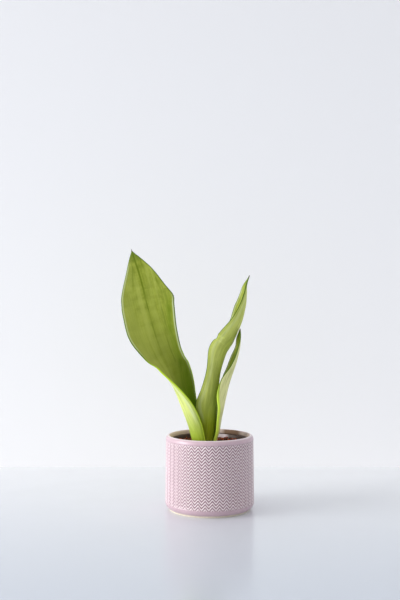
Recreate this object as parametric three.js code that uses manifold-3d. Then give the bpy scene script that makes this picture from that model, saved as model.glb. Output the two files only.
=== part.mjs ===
// Potted snake plant in a glazed ceramic cover pot.
//
// Millimetres, +Z up. The origin is the middle of the flat foot that the pot stands on.
// The front of the plant faces -Y, and +X is to the right of someone who looks at it.

import * as THREE from 'three';
import { mergeVertices } from 'three/addons/utils/BufferGeometryUtils.js';
import Module from 'manifold-3d';

// ---------------------------------------------------------------- driving dimensions

const COVER_POT = {
  height: 100.8,
  wallRadiusLow: 60.5, // the wall flares by about a millimetre towards the foot
  wallRadiusHigh: 59.7,
  lipRadius: 55.6, // where the rounded lip is highest
  lipDepth: 6, // from the crest of the lip down to the straight wall
  boreRadius: 52.1,
  boreRadiusLow: 51.7,
  floorThickness: 6,
  floorRounding: 8,
  footRadius: 54,
  footHeight: 1.5,
  footChamfer: 0.5,
  heelRadius: 52.2, // the rounded heel is a stretch of an ellipse about this radius
  heelHeight: 11.5,
  heelArc: [-75, -18, 3], // first and last angle in degrees, and the number of steps
  outerLipArc: [18, 90, 3],
  innerLipArc: [120, 180, 2],
  floorArc: [0, -90, 2],
};

const CHEVRON = {
  bandLow: 11.75,
  bandHigh: 93.05,
  zigzags: 40,
  rows: 19,
  depth: 1,
  phaseDegrees: -87.1, // the peak next to the middle of the front
};

const NURSERY_POT = {
  wall: 1.3,
  baseRadius: 38,
  baseChamfer: 1.5,
  shoulderRadius: 47.9,
  shoulderHeight: 85,
  collarRadius: 49.6, // the stacking collar steps out above the shoulder
  collarStep: 0.6, // the height that the step takes on the outside
  collarLift: 0.4, // the inside of the step stands this much higher at its foot
  rimRadius: 51,
  rimHeight: 94.4,
  rimChamfer: 0.4,
  drainHoles: 6,
  drainHoleRadius: 3.2,
  drainCircleRadius: 24,
  drillLength: 8,
  drillSides: 12,
  columns: 40,
};

const SOIL = {
  level: 89.5,
  chamfer: [2, 2.4], // of the bed's lower edge, inwards and upwards
  stepFrom: 0.3, // above the shoulder, where the bed starts to follow the collar's step
  stepTo: 2,
  waveHeight: 0.8,
  broadWaves: [0.23, 0.19], // radians per millimetre along X and Y
  broadShift: 1.1,
  fineWaves: [0.41, -0.37],
  fineShare: 0.6,
  columns: 40,
  rings: 6,
};

const ROOTSTOCK = {
  crownX: -6,
  crownRadius: 16,
  crownTop: 61,
  crownBottom: 44,
  crownShoulders: [7, 2.5], // below its top, where the crown is widest
  crownRounding: 3,
  crownSides: 16,
  rodRadius: 7.5,
  rodHeight: 44,
  rodFrom: -34,
  rodTo: 24,
  rodEndGirth: 0.6, // share of the full girth that a pointed end would keep
  rodBluntness: 0.12, // share of the taper that is cut off at either end
  rodSides: 12,
  knuckles: 5, // ring-shaped scars along the creeping stem
  knuckleHeight: 1,
  roots: 6,
  rootMargin: 8, // from the ends of the creeping stem
  rootLength: 26,
  rootRadius: 2.2,
  rootTipRadius: 0.9,
  rootSpread: 0.75, // sideways and downwards, as shares of the length
  rootFall: 0.2,
  rootDroop: 22, // how far the arc sags at its end
  rootLean: [0.25, 0.85], // of the cross-section at both ends, as shares of a right angle
  rootSteps: 4,
  rootSides: 5,
};

const CLEARANCE = 0.4; // between pieces that stand in one another
const WELD = 1e-4; // points closer than this are one

const LEAF_SHEET = {
  rows: 32,
  cellsAcross: 10,
  ribThicknessBase: 3.8,
  ribThicknessTip: 2.2,
  marginThicknessBase: 2.6,
  marginThicknessTip: 1.4,
  tipThinning: 0.45,
  tipThinningPower: 10,
  holeShare: 0.25, // share of the rows that the leaf's hole in the soil covers
};

// Each leaf is a trough along its rib. A station gives the place of the rib (x, y, z), the
// direction that the trough opens to (degrees, 0 = +X, 90 = +Y), the width of its left and
// right half along the skin, and how far each half has turned at its margin (degrees).
// Left and right are as seen by someone who looks into the trough with the tip up.
const LEAF_STATIONS = {
  leaf_left: [
    [-14, 0, 62, 0, 22, 22, 90, 90],
    [-22, 0, 92, 0, 26, 26, 90, 90],
    [-28, 0, 114, 0, 28, 28, 88, 88],
    [-37, 0, 138, -2, 30, 33.8, 72, 80],
    [-46, 1, 162, -8, 27.6, 39, 42, 78],
    [-56, 3, 188, -30, 26.1, 34.5, 22, 66],
    [-60.3, 4.2, 199, -45, 26.4, 29.5, 22, 54],
    [-67, 6, 214, -60, 32.2, 29.2, 22, 40],
    [-76, 9, 240, -77, 38, 32.3, 20, 28],
    [-84, 13, 268, -86, 36.5, 37.4, 18, 20],
    [-87.5, 15, 282, -89, 35, 39.2, 17, 17],
    [-91.5, 17, 298, -91, 31.2, 31.3, 15, 15],
    [-98, 20, 321, -93, 19.7, 20.9, 13, 13],
    [-104, 22, 340, -94, 8.9, 9.1, 10, 10],
    [-107.3, 23.4, 351, -94, 1.8, 1.2, 8, 8],
    [-108.9, 24, 355.8, -94, 0, 0, 4, 4],
  ],
  leaf_middle: [
    [0, 0, 62, 172, 11, 11, 90, 90],
    [4, 0, 92, 162, 15, 16, 90, 90],
    [7, 0, 118, 154, 20, 25, 90, 88],
    [8, 2, 140, 150, 25, 31.3, 86, 82],
    [10, 3, 162, 160, 25, 27.2, 85, 78],
    [13.3, 4, 186, 165, 25, 24.6, 84, 75],
    [20.5, 5.2, 211, 161, 27, 28.9, 85, 80],
    [26, 5.7, 220.6, 161.6, 30.5, 25.2, 88, 80],
    [32, 6, 230, 164, 33, 27.8, 90, 79],
    [43, 6, 254, 175, 27, 23.1, 82, 76],
    [48, 6, 276, 190, 19, 21, 75, 70],
    [49, 6, 292, 195, 11.5, 19.5, 60, 50],
    [50.3, 6, 305, 190, 8, 8, 36, 30],
    [55, 6, 319, 180, 0, 0, 10, 10],
  ],
  leaf_right: [
    [5, -1, 62, 172, 7, 7, 20, 40],
    [8, -2, 92, 170, 8, 7, 12, 26],
    [11.5, -3, 106, 168, 9, 8, 8, 16],
    [14, -3, 122, 168, 10, 10.5, 8, 20],
    [17.5, -3, 136, 172, 11, 15.5, 10, 35],
    [21, -2, 152, 178, 14, 22, 34, 65],
    [26, -1, 172, 184, 16.5, 22, 70, 80],
    [32, 0, 190, 188, 15, 18, 58, 62],
    [37, 0, 206, 188, 13.5, 14.5, 55, 46],
    [40, 0, 220, 190, 9, 13.5, 48, 38],
    [41, 0, 233, 196, 7, 9, 40, 30],
    [41.5, 0, 246, 200, 0, 0, 20, 20],
  ],
};

// ---------------------------------------------------------------- solids

const wasm = await Module();
wasm.setup();

function toManifold(geometry) {
  const bare = geometry.clone();
  bare.deleteAttribute('normal');
  bare.deleteAttribute('uv');
  const merged = mergeVertices(bare, WELD);
  return new wasm.Manifold(new wasm.Mesh({
    numProp: 3,
    vertProperties: new Float32Array(merged.attributes.position.array),
    triVerts: new Uint32Array(merged.index.array),
  }));
}

function toGeometry(manifold) {
  const mesh = manifold.getMesh();
  const geometry = new THREE.BufferGeometry();
  geometry.setAttribute('position', new THREE.BufferAttribute(mesh.vertProperties, 3));
  geometry.setIndex(new THREE.BufferAttribute(mesh.triVerts, 1));
  return geometry;
}

// A closed skin made of rings of equal vertex count, which run anticlockwise seen from above.
// Listed from the bottom outwards, up, over the rim and down inside, its faces point outwards.
class RingSkin {
  constructor(columns) {
    this.columns = columns;
    this.points = [];
    this.faces = [];
  }

  point(x, y, z) {
    this.points.push(x, y, z);
    return this.points.length / 3 - 1;
  }

  ring(radiusAt, heightAt, phase = 0) {
    const first = this.points.length / 3;
    for (let j = 0; j < this.columns; j++) {
      const angle = phase + (2 * Math.PI * j) / this.columns;
      const radius = radiusAt(angle, j);
      const x = radius * Math.cos(angle);
      const y = radius * Math.sin(angle);
      this.point(x, y, heightAt(x, y, j));
    }
    return first;
  }

  face(a, b, c) {
    if (a !== b && b !== c && c !== a) this.faces.push(a, b, c);
  }

  quad(a, b, c, d) {
    this.face(a, b, c);
    this.face(a, c, d);
  }

  bridge(from, to) {
    for (let j = 0; j < this.columns; j++) {
      const next = (j + 1) % this.columns;
      this.quad(from + j, from + next, to + next, to + j);
    }
  }

  bridgeAll(chain) {
    for (let i = 1; i < chain.length; i++) this.bridge(chain[i - 1], chain[i]);
  }

  fan(centre, ring, centreIsFirst) {
    for (let j = 0; j < this.columns; j++) {
      const next = (j + 1) % this.columns;
      if (centreIsFirst) this.face(centre, ring + next, ring + j);
      else this.face(ring + j, ring + next, centre);
    }
  }

  geometry() {
    const geometry = new THREE.BufferGeometry();
    geometry.setAttribute('position', new THREE.Float32BufferAttribute(this.points, 3));
    geometry.setIndex(this.faces);
    return geometry;
  }
}

// Points [radius, height] on a stretch of an ellipse, with both ends included.
function ellipseArc(centre, size, [fromDegrees, toDegrees, steps]) {
  const points = [];
  for (let i = 0; i <= steps; i++) {
    const angle = THREE.MathUtils.degToRad(fromDegrees + ((toDegrees - fromDegrees) * i) / steps);
    points.push([centre[0] + size[0] * Math.cos(angle), centre[1] + size[1] * Math.sin(angle)]);
  }
  return points;
}

// ---------------------------------------------------------------- cover pot

// The outer wall is a cone that is a little wider low down.
function coverWallRadius(z) {
  const { wallRadiusLow, wallRadiusHigh } = COVER_POT;
  const share = (z - CHEVRON.bandLow) / (CHEVRON.bandHigh - CHEVRON.bandLow);
  return THREE.MathUtils.lerp(wallRadiusLow, wallRadiusHigh, THREE.MathUtils.clamp(share, 0, 1));
}

// The chevron rows are ridges with grooves between them. Crests and grooves lie on levels that
// alternate up the band, and each line drops two levels from a peak column to a valley column,
// so that it zigzags round the pot. Lines that would leave the band end on its edge.
function addChevronBand(skin, phase) {
  const levels = 2 * CHEVRON.rows;
  const rings = [];
  for (let level = 0; level <= levels; level++) {
    const z = THREE.MathUtils.lerp(CHEVRON.bandLow, CHEVRON.bandHigh, level / levels);
    const groove = level % 2 === 1 ? CHEVRON.depth : 0;
    rings.push(skin.ring(() => coverWallRadius(z) - groove, () => z, phase));
  }
  const vertex = (line, column) => {
    const shift = column % 2 === 0 ? 1 : -1;
    return rings[THREE.MathUtils.clamp(line + shift, 0, levels)] + (column % skin.columns);
  };
  for (let line = -1; line <= levels; line++) {
    for (let j = 0; j < skin.columns; j++) {
      const a = vertex(line, j);
      const b = vertex(line, j + 1);
      const c = vertex(line + 1, j + 1);
      const d = vertex(line + 1, j);
      if (j % 2 === 0) skin.quad(a, b, c, d);
      else skin.quad(b, c, d, a);
    }
  }
  return { low: rings[0], high: rings[levels] };
}

function coverPotGeometry() {
  const p = COVER_POT;
  const phase = THREE.MathUtils.degToRad(CHEVRON.phaseDegrees);
  const skin = new RingSkin(2 * CHEVRON.zigzags);
  const addRing = ([radius, z]) => skin.ring(() => radius, () => z, phase);

  const heelSize = [p.wallRadiusLow - p.heelRadius, p.heelHeight - p.footHeight];
  const foot = [[p.footRadius - p.footChamfer, 0], [p.footRadius, p.footChamfer]];
  const heel = ellipseArc([p.heelRadius, p.heelHeight], heelSize, p.heelArc);
  const lipFoot = p.height - p.lipDepth;
  const outerLip = [coverWallRadius(lipFoot) - p.lipRadius, p.lipDepth];
  const innerLip = [p.lipRadius - p.boreRadius, p.lipDepth];
  const lip = [
    ...ellipseArc([p.lipRadius, lipFoot], outerLip, p.outerLipArc),
    ...ellipseArc([p.lipRadius, lipFoot], innerLip, p.innerLipArc),
  ];
  const rounding = [p.floorRounding, p.floorRounding];
  const corner = [p.boreRadiusLow - p.floorRounding, p.floorThickness + p.floorRounding];
  const floor = ellipseArc(corner, rounding, p.floorArc);

  const outside = [...foot, ...heel].map(addRing);
  const band = addChevronBand(skin, phase);
  const inside = [...lip, ...floor].map(addRing);

  skin.fan(skin.point(0, 0, 0), outside[0], true);
  skin.bridgeAll([...outside, band.low]);
  skin.bridgeAll([band.high, ...inside]);
  skin.fan(skin.point(0, 0, p.floorThickness), inside.at(-1), false);
  return skin.geometry();
}

// ---------------------------------------------------------------- nursery pot

const nurseryFloor = COVER_POT.floorThickness + CLEARANCE;

// The wall leans out to a shoulder, then a stacking collar with a thin rim stands on it.
function nurseryPotGeometry() {
  const n = NURSERY_POT;
  const lining = nurseryFloor + n.wall;
  const profile = [
    [n.baseRadius - n.baseChamfer, nurseryFloor],
    [n.baseRadius, nurseryFloor + n.baseChamfer],
    [n.shoulderRadius, n.shoulderHeight],
    [n.collarRadius, n.shoulderHeight + n.collarStep],
    [n.rimRadius, n.rimHeight - n.rimChamfer],
    [n.rimRadius - n.wall / 2, n.rimHeight],
    [n.rimRadius - n.wall, n.rimHeight - n.rimChamfer],
    [n.collarRadius - n.wall, n.shoulderHeight + n.collarStep + 2 * n.collarLift],
    [n.shoulderRadius - n.wall, n.shoulderHeight + n.collarLift],
    [n.baseRadius - n.wall, lining + n.baseChamfer],
    [n.baseRadius - n.wall - n.baseChamfer, lining],
  ];
  const skin = new RingSkin(n.columns);
  const rings = profile.map(([radius, z]) => skin.ring(() => radius, () => z));
  skin.fan(skin.point(0, 0, nurseryFloor), rings[0], true);
  skin.bridgeAll(rings);
  skin.fan(skin.point(0, 0, lining), rings.at(-1), false);

  let solid = toManifold(skin.geometry());
  for (let i = 0; i < n.drainHoles; i++) {
    const angle = (2 * Math.PI * i) / n.drainHoles;
    const radius = n.drainHoleRadius;
    const drill = new THREE.CylinderGeometry(radius, radius, n.drillLength, n.drillSides);
    drill.rotateX(Math.PI / 2);
    const [x, y] = [Math.cos(angle), Math.sin(angle)].map((v) => v * n.drainCircleRadius);
    drill.translate(x, y, nurseryFloor);
    solid = solid.subtract(toManifold(drill));
  }
  return toGeometry(solid);
}

// ---------------------------------------------------------------- leaves

// A Catmull-Rom curve through the rows of a table, at a share t of its length.
function tableAt(table, t) {
  const spans = table.length - 1;
  const scaled = THREE.MathUtils.clamp(t, 0, 1) * spans;
  const i = Math.min(Math.floor(scaled), spans - 1);
  const f = scaled - i;
  const beyond = (row, inner) => row.map((value, k) => 2 * value - inner[k]);
  const b = table[i];
  const c = table[i + 1];
  const a = i > 0 ? table[i - 1] : beyond(b, c);
  const d = i + 2 <= spans ? table[i + 2] : beyond(c, b);
  return b.map((_, k) => 0.5 * (2 * b[k] + (c[k] - a[k]) * f
    + (2 * a[k] - 5 * b[k] + 4 * c[k] - d[k]) * f ** 2
    + (3 * b[k] - a[k] - 3 * c[k] + d[k]) * f ** 3));
}

// The rib's place and the directions along it, into the trough and towards the left margin.
function ribFrame(table, t) {
  const step = 1e-4;
  const [x, y, z, facing, ...section] = tableAt(table, t);
  const ahead = new THREE.Vector3(...tableAt(table, Math.min(t + step, 1)));
  const along = ahead.sub(new THREE.Vector3(...tableAt(table, Math.max(t - step, 0)))).normalize();
  const angle = THREE.MathUtils.degToRad(facing);
  const into = new THREE.Vector3(Math.cos(angle), Math.sin(angle), 0);
  into.addScaledVector(along, -into.dot(along)).normalize();
  const left = new THREE.Vector3().crossVectors(into, along);
  return { rib: new THREE.Vector3(x, y, z), along, into, left, section };
}

// The sheet's thickness eases from the rib to the margins, and from the base to the tip.
function halfThickness(t, s) {
  const l = LEAF_SHEET;
  const rib = THREE.MathUtils.lerp(l.ribThicknessBase, l.ribThicknessTip, t);
  const margin = THREE.MathUtils.lerp(l.marginThicknessBase, l.marginThicknessTip, t);
  return 0.5 * (margin + (rib - margin) * (1 - s * s)) * (1 - l.tipThinning * t ** l.tipThinningPower);
}

// Each half of a section is an arc of its given width that turns through its given angle:
// u = width sin(turn) / fullTurn towards the margin, v = width (1 - cos(turn)) / fullTurn inwards.
// s runs from -1 at the right margin to 1 at the left one, and side is 1 on the inner face and
// -1 on the outer face. Growing it makes the hole that the leaf stands in.
function leafPoint(frame, t, s, side, grow) {
  const [leftWidth, rightWidth, leftTurn, rightTurn] = frame.section;
  const width = (s >= 0 ? leftWidth : rightWidth) + grow;
  const fullTurn = THREE.MathUtils.degToRad(s >= 0 ? leftTurn : rightTurn);
  const turn = fullTurn * s;
  const lift = side * (halfThickness(t, s) + grow);
  const u = (width * Math.sin(turn)) / fullTurn - Math.sin(turn) * lift;
  const v = (width * (1 - Math.cos(turn))) / fullTurn + Math.cos(turn) * lift;
  return frame.rib.clone().addScaledVector(frame.left, u).addScaledVector(frame.into, v);
}

// Triangles of a closed sheet whose rings list the inner face and then the outer face. Both faces
// are split alike, strips join them at the margins and the foot, and a fan closes the tip.
function sheetFaces(ringCount, cells) {
  const faces = [];
  const inner = (i, j) => i * 2 * (cells + 1) + j;
  const outer = (i, j) => inner(i, j) + cells + 1;
  for (let i = 0; i + 1 < ringCount; i++) {
    for (let j = 0; j < cells; j++) {
      faces.push(inner(i, j), inner(i + 1, j + 1), inner(i, j + 1));
      faces.push(inner(i, j), inner(i + 1, j), inner(i + 1, j + 1));
      faces.push(outer(i, j), outer(i, j + 1), outer(i + 1, j + 1));
      faces.push(outer(i, j), outer(i + 1, j + 1), outer(i + 1, j));
    }
    faces.push(inner(i, 0), outer(i, 0), outer(i + 1, 0));
    faces.push(inner(i, 0), outer(i + 1, 0), inner(i + 1, 0));
    faces.push(inner(i, cells), inner(i + 1, cells), outer(i + 1, cells));
    faces.push(inner(i, cells), outer(i + 1, cells), outer(i, cells));
  }
  const last = ringCount - 1;
  const tip = inner(ringCount, 0);
  for (let j = 0; j < cells; j++) {
    faces.push(inner(0, j), inner(0, j + 1), outer(0, j + 1));
    faces.push(inner(0, j), outer(0, j + 1), outer(0, j));
    faces.push(inner(last, j + 1), inner(last, j), tip);
    faces.push(outer(last, j), outer(last, j + 1), tip);
  }
  faces.push(inner(last, 0), outer(last, 0), tip);
  faces.push(outer(last, cells), inner(last, cells), tip);
  return faces;
}

// The blade up to a share of its rows, or with grow the body of the hole that it stands in.
function leafGeometry(table, grow = 0, lastShare = 1) {
  const { rows, cellsAcross } = LEAF_SHEET;
  const ringCount = Math.round(rows * lastShare);
  const points = [];
  for (let i = 0; i < ringCount; i++) {
    const t = i / rows;
    const frame = ribFrame(table, t);
    if (i === 0) frame.rib.addScaledVector(frame.along, -grow);
    for (const side of [1, -1]) {
      for (let j = 0; j <= cellsAcross; j++) {
        const s = -1 + (2 * j) / cellsAcross;
        points.push(...leafPoint(frame, t, s, side, grow));
      }
    }
  }
  points.push(...tableAt(table, lastShare).slice(0, 3));
  const geometry = new THREE.BufferGeometry();
  geometry.setAttribute('position', new THREE.Float32BufferAttribute(points, 3));
  geometry.setIndex(sheetFaces(ringCount, cellsAcross));
  return geometry;
}

// ---------------------------------------------------------------- rootstock

// A round body about an axis through its own middle, given as [radius, distance] pairs.
function turnedBody(profile, sides) {
  return new THREE.LatheGeometry(profile.map(([r, h]) => new THREE.Vector2(r, h)), sides);
}

// The creeping stem lies along X with ring scars, the crown under the leaves stands on it, and
// thick roots leave it sideways and bend down.
function rootstockSolid(grow = 0) {
  const r = ROOTSTOCK;
  const [lowShoulder, highShoulder] = r.crownShoulders;
  const crown = turnedBody([
    [0, r.crownBottom - grow],
    [r.crownRadius / 2 + grow, r.crownBottom - grow],
    [r.crownRadius + grow, r.crownTop - lowShoulder],
    [r.crownRadius + grow, r.crownTop - highShoulder],
    [r.crownRadius - r.crownRounding + grow, r.crownTop + grow],
    [0, r.crownTop + grow],
  ], r.crownSides);
  crown.rotateX(Math.PI / 2);
  crown.translate(r.crownX, 0, 0);

  const stem = turnedBody(rodProfile(grow), r.rodSides);
  stem.rotateZ(-Math.PI / 2);
  stem.translate(0, 0, r.rodHeight);

  let solid = toManifold(crown).add(toManifold(stem));
  for (let i = 0; i < r.roots; i++) {
    const side = i % 2 === 0 ? 1 : -1;
    const share = i / (r.roots - 1);
    const x = THREE.MathUtils.lerp(r.rodFrom + r.rootMargin, r.rodTo - r.rootMargin, share);
    solid = solid.add(toManifold(rootGeometry(x, side, grow)));
  }
  return solid;
}

// The creeping stem thins towards blunt ends, and every second ring of it stands out as a scar.
function rodProfile(grow) {
  const r = ROOTSTOCK;
  const profile = [[0, r.rodFrom - grow]];
  const bulges = 2 * r.knuckles;
  for (let i = 0; i <= bulges; i++) {
    const share = i / bulges;
    const taper = Math.sin(Math.PI * THREE.MathUtils.lerp(r.rodBluntness, 1 - r.rodBluntness, share));
    const girth = THREE.MathUtils.lerp(r.rodEndGirth, 1, taper);
    const knuckle = i % 2 === 0 ? 0 : r.knuckleHeight;
    const x = THREE.MathUtils.lerp(r.rodFrom, r.rodTo, share) + (share < 0.5 ? -grow : grow);
    profile.push([r.rodRadius * girth + knuckle + grow, x]);
  }
  profile.push([0, r.rodTo + grow]);
  return profile;
}

// A root is a tapering tube with few sides, on a falling arc that starts inside the stem.
function rootGeometry(x, side, grow) {
  const r = ROOTSTOCK;
  const skin = new RingSkin(r.rootSides);
  const rings = [];
  const ends = [];
  for (let i = 0; i <= r.rootSteps; i++) {
    const share = i / r.rootSteps;
    const lean = (Math.PI / 2) * THREE.MathUtils.lerp(...r.rootLean, share);
    const reach = r.rootLength * share + (i === r.rootSteps ? grow : 0);
    const y = side * reach * r.rootSpread;
    const z = r.rodHeight - reach * r.rootFall - r.rootDroop * share ** 2;
    const radius = THREE.MathUtils.lerp(r.rootRadius, r.rootTipRadius, share) + grow;
    rings.push(skin.points.length / 3);
    for (let j = 0; j < r.rootSides; j++) {
      const angle = (2 * Math.PI * j) / r.rootSides;
      const across = radius * Math.sin(angle);
      const outwards = y + across * Math.sin(lean) * side;
      skin.point(x + side * radius * Math.cos(angle), outwards, z + across * Math.cos(lean));
    }
    ends.push([x, y, z]);
  }
  skin.fan(skin.point(...ends[0]), rings[0], false);
  skin.bridgeAll(rings.toReversed());
  skin.fan(skin.point(...ends.at(-1)), rings.at(-1), true);
  return skin.geometry();
}

// ---------------------------------------------------------------- soil

// Gentle lumps in the top of the potting mix, from a broad and a fine wave.
function soilHeight(x, y) {
  const { broadWaves, broadShift, fineWaves, fineShare } = SOIL;
  const broad = Math.sin(x * broadWaves[0] + broadShift) * Math.cos(y * broadWaves[1]);
  const fine = Math.sin(x * fineWaves[0] + y * fineWaves[1]);
  return SOIL.level + (SOIL.waveHeight * (broad + fineShare * fine)) / (1 + fineShare);
}

// The bed fills the nursery pot up to its level, with holes for the leaves and the rootstock.
function soilGeometry() {
  const n = NURSERY_POT;
  const gap = CLEARANCE;
  const inset = n.wall + gap;
  const bed = nurseryFloor + inset;
  const collarAt = n.shoulderHeight + SOIL.stepTo;
  const collarHeight = n.rimHeight - n.rimChamfer - n.shoulderHeight - n.collarStep;
  const collarSlope = (n.rimRadius - n.collarRadius) / collarHeight;
  const topRadius = n.collarRadius - inset + collarSlope * (SOIL.level - collarAt);
  const skin = new RingSkin(SOIL.columns);
  const side = [
    [n.baseRadius - inset - SOIL.chamfer[0], bed],
    [n.baseRadius - inset, bed + SOIL.chamfer[1]],
    [n.shoulderRadius - inset, n.shoulderHeight + SOIL.stepFrom],
    [n.collarRadius - inset, collarAt],
  ].map(([radius, z]) => skin.ring(() => radius, () => z));
  const top = [];
  for (let i = SOIL.rings; i >= 1; i--) {
    top.push(skin.ring(() => (topRadius * i) / SOIL.rings, soilHeight));
  }
  skin.fan(skin.point(0, 0, bed), side[0], true);
  skin.bridgeAll([...side, ...top]);
  skin.fan(skin.point(0, 0, soilHeight(0, 0)), top.at(-1), false);

  let solid = toManifold(skin.geometry()).subtract(rootstockSolid(gap));
  for (const table of Object.values(LEAF_STATIONS)) {
    solid = solid.subtract(toManifold(leafGeometry(table, gap, LEAF_SHEET.holeShare)));
  }
  const pieces = solid.decompose();
  pieces.sort((a, b) => b.volume() - a.volume());
  return toGeometry(pieces[0]);
}

// ---------------------------------------------------------------- materials and scene

function material(color, roughness, metalness = 0) {
  return new THREE.MeshStandardMaterial({ color, roughness, metalness });
}

const pinkGlaze = material(0xdcc3cc, 0.3);
const brownPlastic = material(0x6d5448, 0.6);
const coir = material(0x4a2a1e, 0.95);
const paleRoot = material(0xd8b98a, 0.8);
const leafGreens = { leaf_left: 0x8fa64a, leaf_middle: 0x7f9a45, leaf_right: 0xa0ab62 };

function part(name, geometry, look) {
  const mesh = new THREE.Mesh(geometry, look);
  mesh.name = name;
  return mesh;
}

const plant = new THREE.Group();
plant.add(part('ceramic_pot', coverPotGeometry(), pinkGlaze));
plant.add(part('nursery_pot', nurseryPotGeometry(), brownPlastic));
plant.add(part('soil', soilGeometry(), coir));
plant.add(part('rhizome', toGeometry(rootstockSolid()), paleRoot));
for (const [name, table] of Object.entries(LEAF_STATIONS)) {
  plant.add(part(name, leafGeometry(table), material(leafGreens[name], 0.5)));
}

export default plant;
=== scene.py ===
# %% [markdown]
# # A potted snake plant
#
# Three broad, leathery leaves rise out of a nursery pot of coir mix, which stands in a glazed
# cover pot with a pressed chevron band. The plain solids of the plant are already made, and come
# in here as a fixed frame. This script keeps their sizes and places, and gives each of them the
# finer surface and the finish of the real thing.
#
# Blender counts in metres. The sizes here are in millimetres, as in the frame's own source,
# and are turned into metres where a mesh is made.

# %% Load the frame
import bmesh
import bpy
import numpy as np
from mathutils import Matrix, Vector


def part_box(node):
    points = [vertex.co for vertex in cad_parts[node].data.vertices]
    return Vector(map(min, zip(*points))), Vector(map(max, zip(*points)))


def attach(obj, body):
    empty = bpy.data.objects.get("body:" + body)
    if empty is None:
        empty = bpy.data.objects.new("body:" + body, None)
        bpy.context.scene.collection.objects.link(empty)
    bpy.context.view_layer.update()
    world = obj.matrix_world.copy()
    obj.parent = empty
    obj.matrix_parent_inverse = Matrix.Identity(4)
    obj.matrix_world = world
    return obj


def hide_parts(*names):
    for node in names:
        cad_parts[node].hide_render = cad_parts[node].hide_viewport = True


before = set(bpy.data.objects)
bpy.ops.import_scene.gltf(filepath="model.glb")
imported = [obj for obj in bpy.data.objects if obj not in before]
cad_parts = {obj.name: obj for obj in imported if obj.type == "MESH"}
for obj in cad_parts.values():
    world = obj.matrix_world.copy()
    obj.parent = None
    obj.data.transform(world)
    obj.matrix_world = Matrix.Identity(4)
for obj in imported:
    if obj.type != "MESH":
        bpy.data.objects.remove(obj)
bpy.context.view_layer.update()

MM = 0.001
SAME_PLACE = 0.0002  # millimetres within which two points are one


def node_box(node):
    """The lowest and highest corners of a solid of the frame, in millimetres."""
    low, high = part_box(node)
    return np.array(low) / MM, np.array(high) / MM


for node_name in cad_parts:
    print(node_name, "spans", np.round(node_box(node_name), 1).tolist())

# %% [markdown]
# ## The camera
#
# The picture is taken level, from a little over a metre away, with the lens just above the
# middle of the plant. From there the pot's rim shows as a narrow ellipse, and the far edge of
# the table lies a little above the pot's foot.

# %% Place the camera
LENS_PLACE = (-0.0132, -1.207, 0.2843)
FOCAL_LENGTH, SENSOR_LONG_SIDE = 53.1, 36.0

camera_data = bpy.data.cameras.new("camera")
camera_data.lens = FOCAL_LENGTH
camera_data.sensor_width = SENSOR_LONG_SIDE
camera = bpy.data.objects.new("camera", camera_data)
camera.location = LENS_PLACE
camera.rotation_euler = (np.pi / 2, 0.0, 0.0)
bpy.context.scene.collection.objects.link(camera)
bpy.context.scene.camera = camera
print("camera at", LENS_PLACE, "with a lens of", FOCAL_LENGTH, "mm")

# %% [markdown]
# ## Surfaces from grids
#
# Every new piece is a grid of points: a function of two parameters, worked out as whole numpy
# arrays. Neighbouring points become the corners of quads. Points that fall together, as at a
# pole or at the tip of a leaf, are merged into one afterwards, so that each skin is closed.


# %% Turn a grid of points into a mesh
def round_angles(count):
    """Evenly spaced angles once round, the first of them 0."""
    return 2 * np.pi * np.arange(count) / count


def grid_quads(rows, columns):
    """Corners (i, j), (i, j+1), (i+1, j+1), (i+1, j) of each cell. The last column joins the first."""
    i, j = np.meshgrid(np.arange(rows - 1), np.arange(columns), indexing="ij")
    after = (j + 1) % columns
    corners = (i * columns + j, i * columns + after, (i + 1) * columns + after, (i + 1) * columns + j)
    return np.stack(corners, -1).reshape(-1, 4)


def repeated(faces, count, points_each):
    """The same faces for each of so many like pieces, whose points are listed one after another."""
    return (faces[None] + points_each * np.arange(count)[:, None, None]).reshape(-1, faces.shape[1])


def mesh_object(name, points, faces, values=None):
    """A smooth-shaded object from points in millimetres. values holds named numbers for each point."""
    mesh = bpy.data.meshes.new(name)
    mesh.from_pydata(points.reshape(-1, 3) * MM, [], faces)
    for title, numbers in (values or {}).items():
        layer = mesh.attributes.new(title, "FLOAT", "POINT")
        layer.data.foreach_set("value", numbers.astype(np.float32).ravel())
    mesh.shade_smooth()
    piece = bpy.data.objects.new(name, mesh)
    bpy.context.scene.collection.objects.link(piece)
    return piece


def close_poles(piece):
    """Merges points that fall together, which drops the faces without area, and counts open edges."""
    work = bmesh.new()
    work.from_mesh(piece.data)
    bmesh.ops.remove_doubles(work, verts=work.verts, dist=SAME_PLACE * MM)
    open_edges = sum(edge.is_boundary for edge in work.edges)
    print(piece.name, "has", len(work.faces), "faces and", open_edges, "open edges")
    work.to_mesh(piece.data)
    work.free()


def turned_skin(name, radii, heights, columns, values=None):
    """A closed skin from rings, listed from the middle of the base outwards, up, and down inside.

    The point at column j of ring i is (r cos a, r sin a, z), with a = 2 pi j / columns.
    """
    angle = round_angles(columns)
    radii = np.broadcast_to(radii, (len(radii), columns))
    heights = np.broadcast_to(heights, radii.shape)
    points = np.stack([radii * np.cos(angle), radii * np.sin(angle), heights], -1)
    piece = mesh_object(name, points, grid_quads(*radii.shape), values)
    close_poles(piece)
    return piece


print("two rings of three points have the cells", grid_quads(2, 3).tolist())


# %% Profiles of turned pieces
def ellipse_arc(centre, size, start, end, steps):
    """Points (radius, height) = centre + size (cos a, sin a), with a from start to end in degrees."""
    angle = np.radians(np.linspace(start, end, steps + 1))
    return np.column_stack([centre[0] + size[0] * np.cos(angle), centre[1] + size[1] * np.sin(angle)])


def straight(start, end, steps):
    """Evenly spaced points from start to end, both included."""
    return np.linspace(start, end, steps + 1)


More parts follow.
